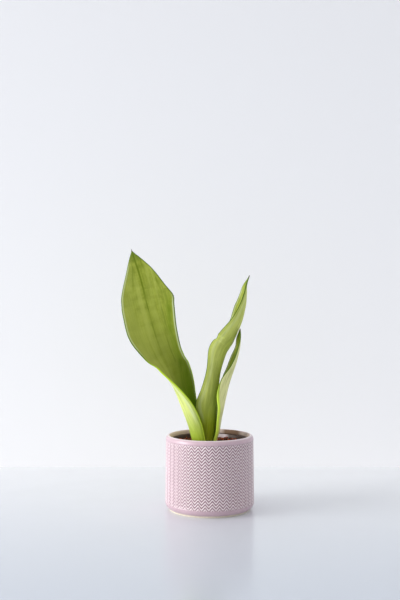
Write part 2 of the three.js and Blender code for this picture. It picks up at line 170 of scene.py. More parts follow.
def join_profile(*stretches):
    """One profile out of several, without the points that repeat where two stretches meet."""
    points = np.vstack(stretches)
    apart = np.linalg.norm(np.diff(points, axis=0), axis=1) > 1e-6
    return points[np.concatenate([[True], apart])]


print("a quarter round in two steps:", ellipse_arc((0, 0), (1, 1), 0, 90, 2).round(2).tolist())

# %% [markdown]
# ## Node helpers
#
# A material is a small network of nodes. A few short functions keep the networks readable: one
# adds a node and fills or links its inputs, the others do sums, ramps and layers of colour. What
# several finishes share becomes a node group, built once and placed with values of its own.

# %% Add nodes and sums
def paint(red, green, blue):
    """A colour as seen on screen, 0 to 255, in the linear light that shaders work with."""
    seen = np.array([red, green, blue]) / 255
    linear = np.where(seen <= 0.04045, seen / 12.92, ((seen + 0.055) / 1.055) ** 2.4)
    return (*linear.tolist(), 1.0)


def add_node(tree, kind, inputs=None, **settings):
    """Adds a node. Each of inputs is a number or colour for a socket, or an output to link to it."""
    node = tree.nodes.new(kind)
    for setting, value in settings.items():
        setattr(node, setting, value)
    for socket, value in (inputs or {}).items():
        if isinstance(value, bpy.types.NodeSocket):
            tree.links.new(value, node.inputs[socket])
        else:
            node.inputs[socket].default_value = value
    return node


def calculate(tree, operation, *values):
    """One sum on numbers or outputs, such as ADD, MAXIMUM or ABSOLUTE."""
    return add_node(tree, "ShaderNodeMath", dict(enumerate(values)), operation=operation).outputs[0]


def times(tree, *factors):
    """All of the factors multiplied."""
    product = factors[0]
    for factor in factors[1:]:
        product = calculate(tree, "MULTIPLY", product, factor)
    return product


def ramp(tree, value, low, high, start=0.0, end=1.0):
    """Goes smoothly from start to end while value goes from low to high."""
    sockets = {"Value": value, "From Min": low, "From Max": high, "To Min": start, "To Max": end}
    return add_node(tree, "ShaderNodeMapRange", sockets, interpolation_type="SMOOTHSTEP").outputs[0]


def layered(tree, colour, *layers):
    """The colour with layers laid over it. Each is (share, colour) and covers fully where share is 1."""
    for share, over in layers:
        sockets = {0: share, 6: colour, 7: over}
        colour = add_node(tree, "ShaderNodeMix", sockets, data_type="RGBA").outputs[2]
    return colour


print("half grey on screen is", round(paint(128, 128, 128)[0], 3), "in linear light")


# %% Read places and make groups
SOCKET_KINDS = {1: "Float", 3: "Vector", 4: "Color"}  # by how many numbers the default has


def point_value(tree, title):
    """The named number that the mesh holds for each of its points."""
    return add_node(tree, "ShaderNodeAttribute", attribute_name=title).outputs["Fac"]


def object_mm(tree):
    """The place on the piece in millimetres, for patterns whose sizes are given in millimetres."""
    place = add_node(tree, "ShaderNodeTexCoord").outputs["Object"]
    return add_node(tree, "ShaderNodeVectorMath", {0: place, 3: 1 / MM}, operation="SCALE").outputs[0]


def axes_of(tree, place):
    """The x, y and z of a place."""
    return add_node(tree, "ShaderNodeSeparateXYZ", {0: place}).outputs


def bumped(tree, height, depth):
    """A Bump of the given depth in millimetres, for the shader's Normal."""
    sockets = {"Strength": 1.0, "Distance": depth * MM, "Height": height}
    return add_node(tree, "ShaderNodeBump", sockets).outputs["Normal"]


def new_group(name, inputs, **outputs):
    """An empty shader group, with inputs as title=default and outputs as title=kind."""
    tree = bpy.data.node_groups.new(name, "ShaderNodeTree")
    for title, default in inputs.items():
        kind = "NodeSocket" + SOCKET_KINDS[np.size(default)]
        tree.interface.new_socket(title, in_out="INPUT", socket_type=kind).default_value = default
    for title, kind in outputs.items():
        tree.interface.new_socket(title, in_out="OUTPUT", socket_type="NodeSocket" + kind)
    return tree, tree.nodes.new("NodeGroupInput").outputs, tree.nodes.new("NodeGroupOutput")


def use_group(tree, group, inputs):
    """Places a group in a material, or in another group, and gives its outputs."""
    return add_node(tree, "ShaderNodeGroup", inputs, node_tree=group).outputs


def new_finish(name, **constants):
    """A material with one Principled shader. constants set sockets that are the same all over."""
    material = bpy.data.materials.new(name)
    material.use_nodes = True
    shader = material.node_tree.nodes["Principled BSDF"]
    for socket, value in constants.items():
        shader.inputs[socket.replace("_", " ")].default_value = value
    return material, material.node_tree, shader


def feed(tree, node, **outputs):
    """Links outputs to the sockets of a shader, or of a group's own output."""
    for socket, output in outputs.items():
        tree.links.new(output, node.inputs[socket.replace("_", " ")])


print("sockets by their size:", SOCKET_KINDS)

# %% [markdown]
# ## Three effects that the finishes share
#
# Nothing on a real plant or pot is one flat colour. *Mottling* is cloudy unevenness, as in
# glaze that lies thick and thin. *Thin line* draws a stripe along a line of the surface, such as
# a vein or the edge of the glaze. *Fine grain* is the faint roughness that breaks up a gloss.

# %% Build the shared groups
def build_mottling():
    """A cloudy mask from 0 to 1: fractal noise in stretched space, with its middle range widened."""
    inputs = {"Vector": (0, 0, 0), "Stretch": (1, 1, 1), "Size mm": 10.0, "Seed": 0.0,
              "Low": 0.35, "High": 0.65}
    tree, given, result = new_group("mottling", inputs, Mask="Float")
    stretched = add_node(tree, "ShaderNodeVectorMath", {0: given["Vector"], 1: given["Stretch"]},
                         operation="MULTIPLY").outputs[0]
    scale = calculate(tree, "DIVIDE", 1.0, given["Size mm"])
    sockets = {"Vector": stretched, "W": given["Seed"], "Scale": scale, "Detail": 4.0, "Roughness": 0.55}
    noise = add_node(tree, "ShaderNodeTexNoise", sockets, noise_dimensions="4D").outputs[0]
    feed(tree, result, Mask=ramp(tree, noise, given["Low"], given["High"]))
    return tree


def build_thin_line():
    """1 where a distance is within half a width of a place, and 0 further away than that plus the blur."""
    inputs = {"Distance": 0.0, "Place": 0.0, "Width": 1.0, "Blur": 0.5}
    tree, given, result = new_group("thin line", inputs, Mask="Float")
    away = calculate(tree, "ABSOLUTE", calculate(tree, "SUBTRACT", given["Distance"], given["Place"]))
    half = times(tree, given["Width"], 0.5)
    faded = calculate(tree, "ADD", half, given["Blur"])
    feed(tree, result, Mask=ramp(tree, away, half, faded, 1.0, 0.0))
    return tree


def build_fine_grain():
    """A height from two sizes of noise, one a third of the other, for the Height of a Bump."""
    tree, given, result = new_group("fine grain", {"Vector": (0, 0, 0), "Size mm": 1.0}, Height="Float")
    scale = calculate(tree, "DIVIDE", 1.0, given["Size mm"])
    coarse, fine = [
        add_node(tree, "ShaderNodeTexNoise", {"Vector": given["Vector"], "Scale": size}).outputs[0]
        for size in (scale, times(tree, scale, 3.0))]
    feed(tree, result, Height=calculate(tree, "ADD", coarse, times(tree, fine, 0.5)))
    return tree


MOTTLING = build_mottling()
THIN_LINE = build_thin_line()
FINE_GRAIN = build_fine_grain()
print("groups:", [group.name for group in bpy.data.node_groups])


# %% Use the shared groups
def cloudy(tree, place, size, seed, stretch=(1, 1, 1), low=0.35, high=0.65):
    """Mottling with clouds of that size in millimetres. low and high are the noise's own range."""
    sockets = {"Vector": place, "Stretch": stretch, "Size mm": size, "Seed": seed, "Low": low, "High": high}
    return use_group(tree, MOTTLING, sockets)[0]


def striped(tree, distance, place, width, blur):
    """A thin line where the distance comes to that place."""
    sockets = {"Distance": distance, "Place": place, "Width": width, "Blur": blur}
    return use_group(tree, THIN_LINE, sockets)[0]


def grainy(tree, size, depth):
    """A Bump of fine grain of that size and depth in millimetres, for the shader's Normal."""
    grain = use_group(tree, FINE_GRAIN, {"Vector": object_mm(tree), "Size mm": size})[0]
    return bumped(tree, grain, depth)


print("mottling takes", [socket.name for socket in MOTTLING.interface.items_tree])

# %% [markdown]
# ## The cover pot
#
# The cover pot is slip-cast stoneware. Its wall flares by a millimetre towards a rounded heel,
# its lip is a full round, and a band of fine chevrons is pressed into the wall: 40 zigzags side
# by side and 20 rows. The relief could be a bump in the material, but light rakes across it from
# the window, and its slopes have to catch that light, so it is real geometry here.
#
# The rows of the grid lean with the zigzag, so that every ridge runs along a row of points and
# stays crisp. The lean fades out at the band's edges, where the rows have to lie level.

# %% The pot's profile
POT_HEIGHT = node_box("ceramic_pot")[1][2]
BAND = (9.6, 94.8)  # lowest and highest edge of the chevrons
WALL_RADII = (60.5, 59.7)  # at those two heights
FOOT_RADIUS, HEEL_RADIUS = 54.0, 52.2
FOOT_HEIGHT, FOOT_CHAMFER, HEEL_HEIGHT = 1.5, 0.5, 11.5
FOOT_FLAT_STOP = 0.3  # from the last ring of the flat foot to its rounded edge
HEEL_ARC = (-75, -12)  # the part of the heel's quarter ellipse that shows, in degrees
LIP_RADIUS, LIP_DEPTH = 55.6, 6.0
BORE_RADII = (51.7, 52.1)  # just above the floor, and below the lip
POT_STEPS = {"foot": 6, "foot edge": 4, "heel": 14, "lip": 12, "bore": 16, "floor corner": 8, "floor": 5}
FLOOR, FLOOR_ROUNDING = 6.0, 8.0
POT_COLUMNS = 320
ROWS_PER_CHEVRON = 8
CHEVRON_ROWS = 20


def wall_radius(z):
    """The wall is a cone between the band's edges, and straight beyond them."""
    return np.interp(z, BAND, WALL_RADII)


def pot_profile():
    """The stretches below, in and above the band, as points (radius, height)."""
    heel_size = (WALL_RADII[0] - HEEL_RADIUS, HEEL_HEIGHT - FOOT_HEIGHT)
    heel = ellipse_arc((HEEL_RADIUS, HEEL_HEIGHT), heel_size, *HEEL_ARC, POT_STEPS["heel"])
    foot = straight((0, 0), (FOOT_RADIUS - FOOT_CHAMFER - FOOT_FLAT_STOP, 0), POT_STEPS["foot"])
    foot_edge = ellipse_arc((FOOT_RADIUS - FOOT_CHAMFER, FOOT_CHAMFER), (FOOT_CHAMFER, FOOT_CHAMFER),
                            -90, 0, POT_STEPS["foot edge"])
    below = join_profile(foot, foot_edge, heel)
    levels = np.linspace(*BAND, CHEVRON_ROWS * ROWS_PER_CHEVRON + 1)
    band = np.column_stack([wall_radius(levels), levels])
    lip_foot = POT_HEIGHT - LIP_DEPTH
    outer_lip = (wall_radius(lip_foot) - LIP_RADIUS, LIP_DEPTH)
    inner_lip = (LIP_RADIUS - BORE_RADII[1], LIP_DEPTH)
    corner = (BORE_RADII[0] - FLOOR_ROUNDING, FLOOR + FLOOR_ROUNDING)
    above = join_profile(
        ellipse_arc((LIP_RADIUS, lip_foot), outer_lip, 0, 90, POT_STEPS["lip"]),
        ellipse_arc((LIP_RADIUS, lip_foot), inner_lip, 90, 180, POT_STEPS["lip"]),
        straight((BORE_RADII[1], lip_foot), (BORE_RADII[0], corner[1]), POT_STEPS["bore"]),
        ellipse_arc(corner, (FLOOR_ROUNDING, FLOOR_ROUNDING), 0, -90, POT_STEPS["floor corner"]),
        straight((corner[0], FLOOR), (0, FLOOR), POT_STEPS["floor"]),
    )
    return below, band, above


print("points below, in and above the band:", [len(stretch) for stretch in pot_profile()])


# %% The pressed chevrons
ZIGZAGS = 40
PEAK_ANGLE = np.radians(-87.1)  # the peak next to the middle of the front
RELIEF_DEPTH = 1.15
PEAK_ROUNDING = 0.998  # 1 would make the zigzag's corners sharp
ZIGZAG_LIFT = 0.615  # half of the way from valley to peak, as a share of a row
LEAN_FADE = 6.0  # from the band's edge to where the rows lean in full
RIDGE_SHARES = (0.45, 0.55)  # of a straight rise and of a soft one
EDGE_FADE = 0.7  # from the band's edge to the full depth of the relief
SHARPENED = (0.4, 1.0)  # the heights that colour a crest from nothing to full, and a groove likewise


def smooth(value, low, high):
    """0 below low, 1 above high, and the smoothstep 3x^2 - 2x^3 between them."""
    x = np.clip((value - low) / (high - low), 0, 1)
    return x * x * (3 - 2 * x)


def zigzag(angle):
    """A rounded triangle wave from -1 to 1: arcsin(k cos(n a)) / arcsin(k), with a peak at a = 0."""
    return np.arcsin(PEAK_ROUNDING * np.cos(ZIGZAGS * angle)) / np.arcsin(PEAK_ROUNDING)


def ridge_height(phase):
    """0 in a groove, at whole numbers, and 1 on a crest halfway: a triangle wave with soft turns."""
    rise = 1 - np.abs(2 * (phase % 1) - 1)
    return RIDGE_SHARES[0] * rise + RIDGE_SHARES[1] * smooth(rise, 0, 1)


print("a groove, a flank and a crest are", ridge_height(np.array([0, 0.25, 0.5])).round(2).tolist())


# %% Press the chevrons into the pot
def cover_pot():
    """Rows lean by m(z) lift(a), with lift(a) a little over half a row times the zigzag. A groove is
    as deep as the relief times (1 - ridge), and the ridges follow (z - lift(a)) / pitch."""
    below, band, above = pot_profile()
    profile = np.vstack([below, band, above])
    pitch = (BAND[1] - BAND[0]) / CHEVRON_ROWS
    angle = round_angles(POT_COLUMNS)
    lift = ZIGZAG_LIFT * pitch * zigzag(angle)
    level = profile[:, 1:]
    in_band = np.zeros((len(profile), 1))
    in_band[len(below):len(below) + len(band)] = 1.0
    from_edge = np.minimum(level - BAND[0], BAND[1] - level)
    height = level + in_band * smooth(from_edge, 0, LEAN_FADE) * lift
    crest = ridge_height((height - lift - BAND[0]) / pitch + 0.5)
    pressed = in_band * smooth(np.minimum(height - BAND[0], BAND[1] - height), 0, EDGE_FADE)
    radius = np.where(in_band > 0, wall_radius(height), profile[:, :1])
    radius = radius - RELIEF_DEPTH * pressed * (1 - crest)
    along = np.concatenate([[0], np.cumsum(np.linalg.norm(np.diff(profile, axis=0), axis=1))])
    values = {"crest": smooth(crest, *SHARPENED) * pressed,
              "groove": smooth(1 - crest, *SHARPENED) * pressed,
              "along_profile": np.broadcast_to(along[:, None], radius.shape)}
    turned = angle + PEAK_ANGLE
    points = np.stack([radius * np.cos(turned), radius * np.sin(turned), height], -1)
    pot = mesh_object("cover_pot", points, grid_quads(*radius.shape), values)
    close_poles(pot)
    return pot, along[len(below) + len(band)]


pot, LIP_START = cover_pot()
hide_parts("ceramic_pot")
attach(pot, "root")
print("chevron rows of", round((BAND[1] - BAND[0]) / CHEVRON_ROWS, 2), "mm")

# %% [markdown]
# ## Satin glaze over bare clay
#
# The glaze is a pale, dusty pink. It is painted lighter on the crests and over the edge of the lip,
# partly where it sits thinner and partly as a painted highlight, and darker in the grooves, partly
# where it pools and partly as painted shade. Towards the window, where the light falls flat, the
# two differ less. It stops in a slightly wavy line just above the foot, where the cream clay is
# left bare. Inside the lip the pot only wears a thin taupe wash. It is painted lighter at the left
# as painted light, carries a painted leaf shadow at the right, and is painted dark as painted shade
# in the gap below the plastic rim. These could be separate materials on separate faces, but their
# borders would then be sharp steps along the grid. In one material, masks let them wander and fade.
# They go by the length of the profile, which is kept on the mesh.

# %% Colours and borders of the glaze
PINK, PINK_CREST, PINK_GROOVE = paint(208, 180, 190), paint(252, 242, 242), paint(144, 106, 114)
CLAY, CLAY_DARK = paint(238, 228, 210), paint(214, 198, 174)
# In the wash, the lighter colour at the left is painted light, the brown one is a painted leaf shadow at
# the right and mottling elsewhere, and the darkest is painted shade in the gap.
WASH, WASH_PAINTED_LIT, WASH_SHADOW_AND_MOTTLE = paint(196, 178, 172), paint(232, 206, 196), paint(112, 86, 66)
GAP_SHADE = paint(58, 40, 30)
LIP_EDGE = paint(252, 248, 248)
GLAZE_START = (57.9, 58.6)  # along the profile from the middle of the base: none, and in full
GLAZE_END = (1.0, 1.8)  # past the lip's highest line: in full, and none
GLAZE_WAVE = 1.2  # how far the edges of the glaze wander
GROOVE_SHARES, CREST_SHARES = (0.45, 0.9), (0.5, 0.9)  # on the window's side, and everywhere else
LIP_LENGTH = 8.0  # along the profile, from where the lip starts to its highest line
EDGE_PLACE, EDGE_WIDTH, EDGE_BLUR, EDGE_SHARE = -0.8, 2.4, 0.9, 0.4  # the pale line of thin glaze and painted highlight, from the highest line
WINDOW_SIDE = (-56.0, -16.0)  # x where the chevrons' painted highlight and shade are weakest, as the window lights that side flat, and where in full
PAINTED_LIT_WASH = (-42.0, -12.0)  # x until where the wash is painted lighter, as painted light, and from where it is taupe
LEAF_SHADOW_PLACE, LEAF_SHADOW_WIDTH, LEAF_SHADOW_BLUR = 31.0, 15.0, 8.0  # along x: a painted leaf shadow on the inner wall
LEAF_SHADOW_FROM = (0.0, 20.0)  # along y, so that only the rear wall gets the painted leaf shadow
GAP_SHADE_LINE, GAP_SHADE_SHARE = (94.6, 96.6), 0.85  # painted shade in the gap, at the height of the nursery pot's rim
GLAZE_CLOUD_SHARE, WASH_CLOUD_SHARE = 0.12, 0.2
CLAY_ROUGHNESS, GLAZE_ROUGHNESS, GLAZE_COAT = 0.85, 0.4, 0.45
print("glazed from", GLAZE_START[0], "to", round(LIP_START + LIP_LENGTH, 1), "mm along the profile")


# %% Finish the cover pot
def glaze_finish():
    """Pink glaze between two wavy lines, clay below the first, and the wash beyond the second."""
    finish, tree, shader = new_finish("pink_glaze", Coat_Roughness=0.3, Coat_IOR=1.5, IOR=1.5)
    place = object_mm(tree)
    x, y, z = axes_of(tree, place)
    along = point_value(tree, "along_profile")
    lip_top = LIP_START + LIP_LENGTH
    wave = times(tree, cloudy(tree, place, size=26.0, seed=3.0, low=0.2, high=0.8), GLAZE_WAVE)
    wavy = calculate(tree, "ADD", along, wave)
    started = ramp(tree, wavy, *GLAZE_START)
    ended = ramp(tree, wavy, lip_top + GLAZE_END[0], lip_top + GLAZE_END[1], 1.0, 0.0)
    glazed = times(tree, started, ended)

    cloud = cloudy(tree, place, size=22.0, seed=8.0)
    differ = ramp(tree, x, *WINDOW_SIDE)
    # Crests are painted lighter and grooves darker: partly glaze that sits thin or pools, partly a painted
    # highlight and painted shade of the raking window light, weaker where that light falls flat.
    thick = times(tree, point_value(tree, "groove"), ramp(tree, differ, 0.0, 1.0, *GROOVE_SHARES))
    thin = times(tree, point_value(tree, "crest"), ramp(tree, differ, 0.0, 1.0, *CREST_SHARES))
    edge = times(tree, striped(tree, along, lip_top + EDGE_PLACE, EDGE_WIDTH, EDGE_BLUR), EDGE_SHARE)
    pink = layered(tree, PINK, (times(tree, cloud, GLAZE_CLOUD_SHARE), PINK_GROOVE),
                   (thin, PINK_CREST), (thick, PINK_GROOVE), (edge, LIP_EDGE))
    specks = cloudy(tree, place, size=1.4, seed=5.0, low=0.5, high=0.8)
    clay = layered(tree, CLAY, (specks, CLAY_DARK))
    # A painted leaf shadow on the rear inner wall.
    leaf_shadow = times(tree, striped(tree, x, LEAF_SHADOW_PLACE, LEAF_SHADOW_WIDTH, LEAF_SHADOW_BLUR), ramp(tree, y, *LEAF_SHADOW_FROM))
    # Painted shade in the gap below the plastic rim.
    gap_shade = ramp(tree, z, *GAP_SHADE_LINE, GAP_SHADE_SHARE, 0.0)
    wash = layered(tree, WASH_PAINTED_LIT, (ramp(tree, x, *PAINTED_LIT_WASH), WASH), (leaf_shadow, WASH_SHADOW_AND_MOTTLE),
                   (times(tree, cloud, WASH_CLOUD_SHARE), WASH_SHADOW_AND_MOTTLE), (gap_shade, GAP_SHADE))
    bare = layered(tree, clay, (ramp(tree, along, LIP_START, lip_top), wash))
    feed(tree, shader, Base_Color=layered(tree, bare, (glazed, pink)),
         Roughness=ramp(tree, glazed, 0.0, 1.0, CLAY_ROUGHNESS, GLAZE_ROUGHNESS),
         Coat_Weight=times(tree, glazed, GLAZE_COAT), Normal=grainy(tree, size=1.2, depth=0.05))
    return finish


pot.data.materials.append(glaze_finish())
print("finish:", pot.data.materials[0].name)

# %% [markdown]
# ## The leaves
#
# Each leaf is one thick blade that folds into a trough low down, where it hugs its neighbours,
# and opens or twists further up. A curve through a few given stations carries the rib. Each
# station also says which way the trough opens, how wide each half is, and how far it has turned
# at its margin. A flat sheet bent by modifiers would be quicker, but its margins would end up
# wherever the bends put them. These are the frame's own stations, so the fine blade follows the
# solid exactly.

# %% Stations of the three leaves
# Place of the rib (x, y, z), direction that the trough opens to (degrees, 0 = +X, 90 = +Y), width
# of its left and right half along the skin, and the turn of each half at its margin (degrees).
LEAF_STATIONS = {
    "leaf_left": [
        (-14, 0, 62, 0, 22, 22, 90, 90),
        (-22, 0, 92, 0, 26, 26, 90, 90),
        (-28, 0, 114, 0, 28, 28, 88, 88),
        (-37, 0, 138, -2, 30, 33.8, 72, 80),
        (-46, 1, 162, -8, 27.6, 39, 42, 78),
        (-56, 3, 188, -30, 26.1, 34.5, 22, 66),
        (-60.3, 4.2, 199, -45, 26.4, 29.5, 22, 54),
        (-67, 6, 214, -60, 32.2, 29.2, 22, 40),
        (-76, 9, 240, -77, 38, 32.3, 20, 28),
        (-84, 13, 268, -86, 36.5, 37.4, 18, 20),
        (-87.5, 15, 282, -89, 35, 39.2, 17, 17),
        (-91.5, 17, 298, -91, 31.2, 31.3, 15, 15),
        (-98, 20, 321, -93, 19.7, 20.9, 13, 13),
        (-104, 22, 340, -94, 8.9, 9.1, 10, 10),
        (-107.3, 23.4, 351, -94, 1.8, 1.2, 8, 8),
        (-108.9, 24, 355.8, -94, 0, 0, 4, 4),
    ],
    "leaf_middle": [
        (0, 0, 62, 172, 11, 11, 90, 90),
        (4, 0, 92, 162, 15, 16, 90, 90),
        (7, 0, 118, 154, 20, 25, 90, 88),
        (8, 2, 140, 150, 25, 31.3, 86, 82),
        (10, 3, 162, 160, 25, 27.2, 85, 78),
        (13.3, 4, 186, 165, 25, 24.6, 84, 75),
        (20.5, 5.2, 211, 161, 27, 28.9, 85, 80),
        (26, 5.7, 220.6, 161.6, 30.5, 25.2, 88, 80),
        (32, 6, 230, 164, 33, 27.8, 90, 79),
        (43, 6, 254, 175, 27, 23.1, 82, 76),
        (48, 6, 276, 190, 19, 21, 75, 70),
        (49, 6, 292, 195, 11.5, 19.5, 60, 50),
        (50.3, 6, 305, 190, 8, 8, 36, 30),
        (55, 6, 319, 180, 0, 0, 10, 10),
    ],
    "leaf_right": [
        (5, -1, 62, 172, 7, 7, 20, 40),
        (8, -2, 92, 170, 8, 7, 12, 26),
        (11.5, -3, 106, 168, 9, 8, 8, 16),
        (14, -3, 122, 168, 10, 10.5, 8, 20),
        (17.5, -3, 136, 172, 11, 15.5, 10, 35),
        (21, -2, 152, 178, 14, 22, 34, 65),
        (26, -1, 172, 184, 16.5, 22, 70, 80),
        (32, 0, 190, 188, 15, 18, 58, 62),
        (37, 0, 206, 188, 13.5, 14.5, 55, 46),
        (40, 0, 220, 190, 9, 13.5, 48, 38),
        (41, 0, 233, 196, 7, 9, 40, 30),
        (41.5, 0, 246, 200, 0, 0, 20, 20),
    ],
}
print("stations:", {name: len(rows) for name, rows in LEAF_STATIONS.items()})

# %% The rib through the stations
TANGENT_STEP = 1e-4  # share of the leaf over which the rib's direction is taken


def through_stations(stations, share):
    """A Catmull-Rom curve. Between stations b and c, with a before and d after them, it is
    half of 2b + (c - a) f + (2a - 5b + 4c - d) f^2 + (3b - a - 3c + d) f^3."""
    table = np.array(stations, float)
    spans = len(table) - 1
    table = np.vstack([2 * table[0] - table[1], table, 2 * table[-1] - table[-2]])
    place = np.clip(share, 0, 1) * spans
    i = np.minimum(place.astype(int), spans - 1)
    f = (place - i)[..., None]
    a, b, c, d = table[i], table[i + 1], table[i + 2], table[i + 3]
    return 0.5 * (2 * b + (c - a) * f + (2 * a - 5 * b + 4 * c - d) * f**2 + (3 * b - a - 3 * c + d) * f**3)


def unit(vectors):
    """Vectors brought to a length of 1."""
    return vectors / np.linalg.norm(vectors, axis=-1, keepdims=True)


def rib_frame(stations, share):
    """The rib's place, the directions into the trough and to the left margin, and the section."""
    here = through_stations(stations, share)
    ahead = through_stations(stations, np.minimum(share + TANGENT_STEP, 1))
    behind = through_stations(stations, np.maximum(share - TANGENT_STEP, 0))
    along = unit(ahead[..., :3] - behind[..., :3])
    facing = np.radians(here[..., 3])
    level = np.stack([np.cos(facing), np.sin(facing), np.zeros_like(facing)], -1)
    into = unit(level - np.sum(level * along, -1, keepdims=True) * along)
    return here[..., :3], into, np.cross(into, along), here[..., 4:]


print("halfway up, the big leaf's rib is at",
      rib_frame(LEAF_STATIONS["leaf_left"], np.array([0.5]))[0].round(1).tolist())

# %% The blade between its two faces
RIB_THICKNESS, MARGIN_THICKNESS = (3.8, 2.2), (2.6, 1.4)  # at the base and at the tip
TIP_THINNING, THINNING_POWER = 0.45, 10


def half_thickness(share, across):
    """Half of the blade's thickness, which falls off with the square of the way to the margin."""
    rib = RIB_THICKNESS[0] + (RIB_THICKNESS[1] - RIB_THICKNESS[0]) * share
    margin = MARGIN_THICKNESS[0] + (MARGIN_THICKNESS[1] - MARGIN_THICKNESS[0]) * share
    return 0.5 * (margin + (rib - margin) * (1 - across**2)) * (1 - TIP_THINNING * share**THINNING_POWER)


def blade_points(rib_place, into, left, section, across, lift):
    """Each half is an arc of width w that turns through c: u = w sin(ca)/c to the margin and
    v = w (1 - cos(ca))/c into the trough, plus the lift along the arc's own normal."""
    width = np.where(across >= 0, section[..., 0], section[..., 1])
    full_turn = np.radians(np.where(across >= 0, section[..., 2], section[..., 3]))
    turn = full_turn * across
    u = width * np.sin(turn) / full_turn - np.sin(turn) * lift
    v = width * (1 - np.cos(turn)) / full_turn + np.cos(turn) * lift
    return rib_place + u[..., None] * left + v[..., None] * into


print("the rib is", 2 * half_thickness(0.0, 0.0), "mm thick at the base")


# %% Once round a section
LEAF_ROWS = 281
FACE_COLUMNS = 45
CAP_COLUMNS = 9
BEAD_HEIGHT, BEAD_PLACE, BEAD_WIDTH = 0.3, 1.6, 1.0  # a low bead along each margin
BEAD_FADE = (2, 8)  # the half widths of a blade from which the bead starts, and is full
CLOSED_BASE, CLOSED_TIP = 0.002, 0.012  # shares of the leaf over which its thickness closes


def section_ring():
    """Once round a section: the inner face, the left margin, the outer face, the right margin.

    Gives the way across each face (0 on the margins), the sine of the way round each margin,
    with the margin's sign, and the side, which goes from 1 on the inner face to -1 on the outer.
    """
    face = np.linspace(-1, 1, FACE_COLUMNS)
    round_margin = np.linspace(0, np.pi, CAP_COLUMNS + 2)[1:-1]
    none, sine, cosine = np.zeros(CAP_COLUMNS), np.sin(round_margin), np.cos(round_margin)
    flat = np.ones(FACE_COLUMNS)
    across_face = np.concatenate([face, none + 1, face[::-1], none - 1])
    cap_sine = np.concatenate([0 * face, sine, 0 * face, sine])
    side = np.concatenate([flat, cosine, -flat, -cosine])
    return across_face, cap_sine, side


print("a section has", len(section_ring()[0]), "points")


# %% Carry the section along the rib
def leaf_piece(name, stations):
    """The blade's margins are rounded: over the last k = thickness / width of each half, a point
    lies at 1 - k + k sin(b) of the way and at cos(b) of the thickness, with b from 0 to 180 degrees."""
    share = np.linspace(0, 1, LEAF_ROWS)[:, None]
    across_face, cap_sine, side = section_ring()
    rib_place, into, left, section = rib_frame(stations, share)
    width = np.where(across_face >= 0, section[..., 0], section[..., 1])
    margin_share = np.clip(half_thickness(share, 1.0) / np.maximum(width, 0.01), 0, 0.8)
    across = across_face * (1 - margin_share + margin_share * cap_sine)
    from_margin = (1 - np.abs(across)) * width
    bead = BEAD_HEIGHT * np.exp(-(((from_margin - BEAD_PLACE) / BEAD_WIDTH) ** 2)) * (side > 0.99)
    closing = smooth(share, 0, CLOSED_BASE) * smooth(1 - share, 0, CLOSED_TIP)
    lift = (side * half_thickness(share, across) + bead * smooth(width, *BEAD_FADE)) * closing
    points = blade_points(rib_place, into, left, section, across, lift)
    rib_steps = np.linalg.norm(np.diff(rib_place[:, 0], axis=0), axis=1)
    along = np.concatenate([[0], np.cumsum(rib_steps)])[:, None]
    inner_face = 0.5 + 0.5 * side + 0 * across
    values = {"across": across * width, "from_margin": from_margin, "inner_face": inner_face,
              "along": along + 0 * across, "to_tip": along[-1] - along + 0 * across}
    faces = grid_quads(LEAF_ROWS, len(side))
    leaf = mesh_object(name, points, faces[:, ::-1], values)
    close_poles(leaf)
    print(name, "is", round(float(along[-1, 0])), "mm long and up to",
          round(float(section[..., :2].sum(-1).max())), "mm wide")
    return leaf


leaves = {}
for node_name, leaf_stations in LEAF_STATIONS.items():
    leaves[node_name] = leaf_piece(node_name.replace("leaf", "blade"), leaf_stations)
    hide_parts(node_name)
    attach(leaves[node_name], "root")

# %% [markdown]
# ## Leaf skin
#
# The blades are waxy. Inside they are olive green, with fine fibres along them, darker bands and
# clouds higher up, one dark line down the rib and a second beside it near the tip. Their left half
# is painted lighter and their right half darker, as painted light and shade. Low in the trough they
# are painted a deeper green, partly their own colour and partly painted shade. The backs are paler
# and yellower. The margins end in a thin rim with a pale strip inside it, which is a painted
# highlight, as is the pale line along the back inside the margin, and the very tip is dry and brown.
# All of it follows the leaf, so it is worked out from the numbers kept on the mesh: the way across
# and along it. A painted picture could do the same, but it would need unwrapping, and blur when one
# comes close.

# %% What the leaf markings go by
LEAF_PLACES = {"Across": 0.0, "Along": 0.0, "From margin": 0.0, "To tip": 0.0, "Inner face": 1.0,
               "Seed": 0.0}
LEAF_COLOURS = {
    "Inner": paint(157, 167, 60), "Outer": paint(214, 223, 118), "Outer low": paint(158, 188, 50),
    "Deep": paint(102, 136, 0), "Light band": paint(184, 192, 92), "Vein": paint(98, 116, 16),
    "Painted highlight": paint(220, 232, 184), "Rim low": paint(194, 222, 62), "Rim high": paint(80, 108, 22),
    "Dry tip": paint(92, 78, 44),
}
# Pale strip sets how strongly the back's painted highlight and its dark line show.
LEAF_LENGTHS = {"Deep until": 120.0, "Outer low until": 30.0, "Rim low until": 130.0, "Rim width": 1.4,
                "Pale strip": 0.5}
LEAF_PATTERNS = {  # stretch across, along and out of the leaf, size in mm, seed, lowest and highest noise
    "drift": ((0.0, 1.0, 1.0), 60.0, 21.0, 0.2, 0.8),
    "fibres": ((1.0, 0.03, 1.0), 1.6, 1.0, 0.3, 0.7),
    "broad fibres": ((1.0, 0.05, 1.0), 6.0, 5.0, 0.3, 0.7),
    "streaks": ((1.0, 0.12, 1.0), 3.5, 17.0, 0.4, 0.66),
    "bands": ((0.25, 1.0, 1.0), 11.0, 9.0, 0.42, 0.7),
    "blotches": ((1.0, 0.4, 1.0), 16.0, 13.0, 0.35, 0.65),
    "clouds": ((1.0, 0.8, 1.0), 9.0, 29.0, 0.4, 0.64),
}


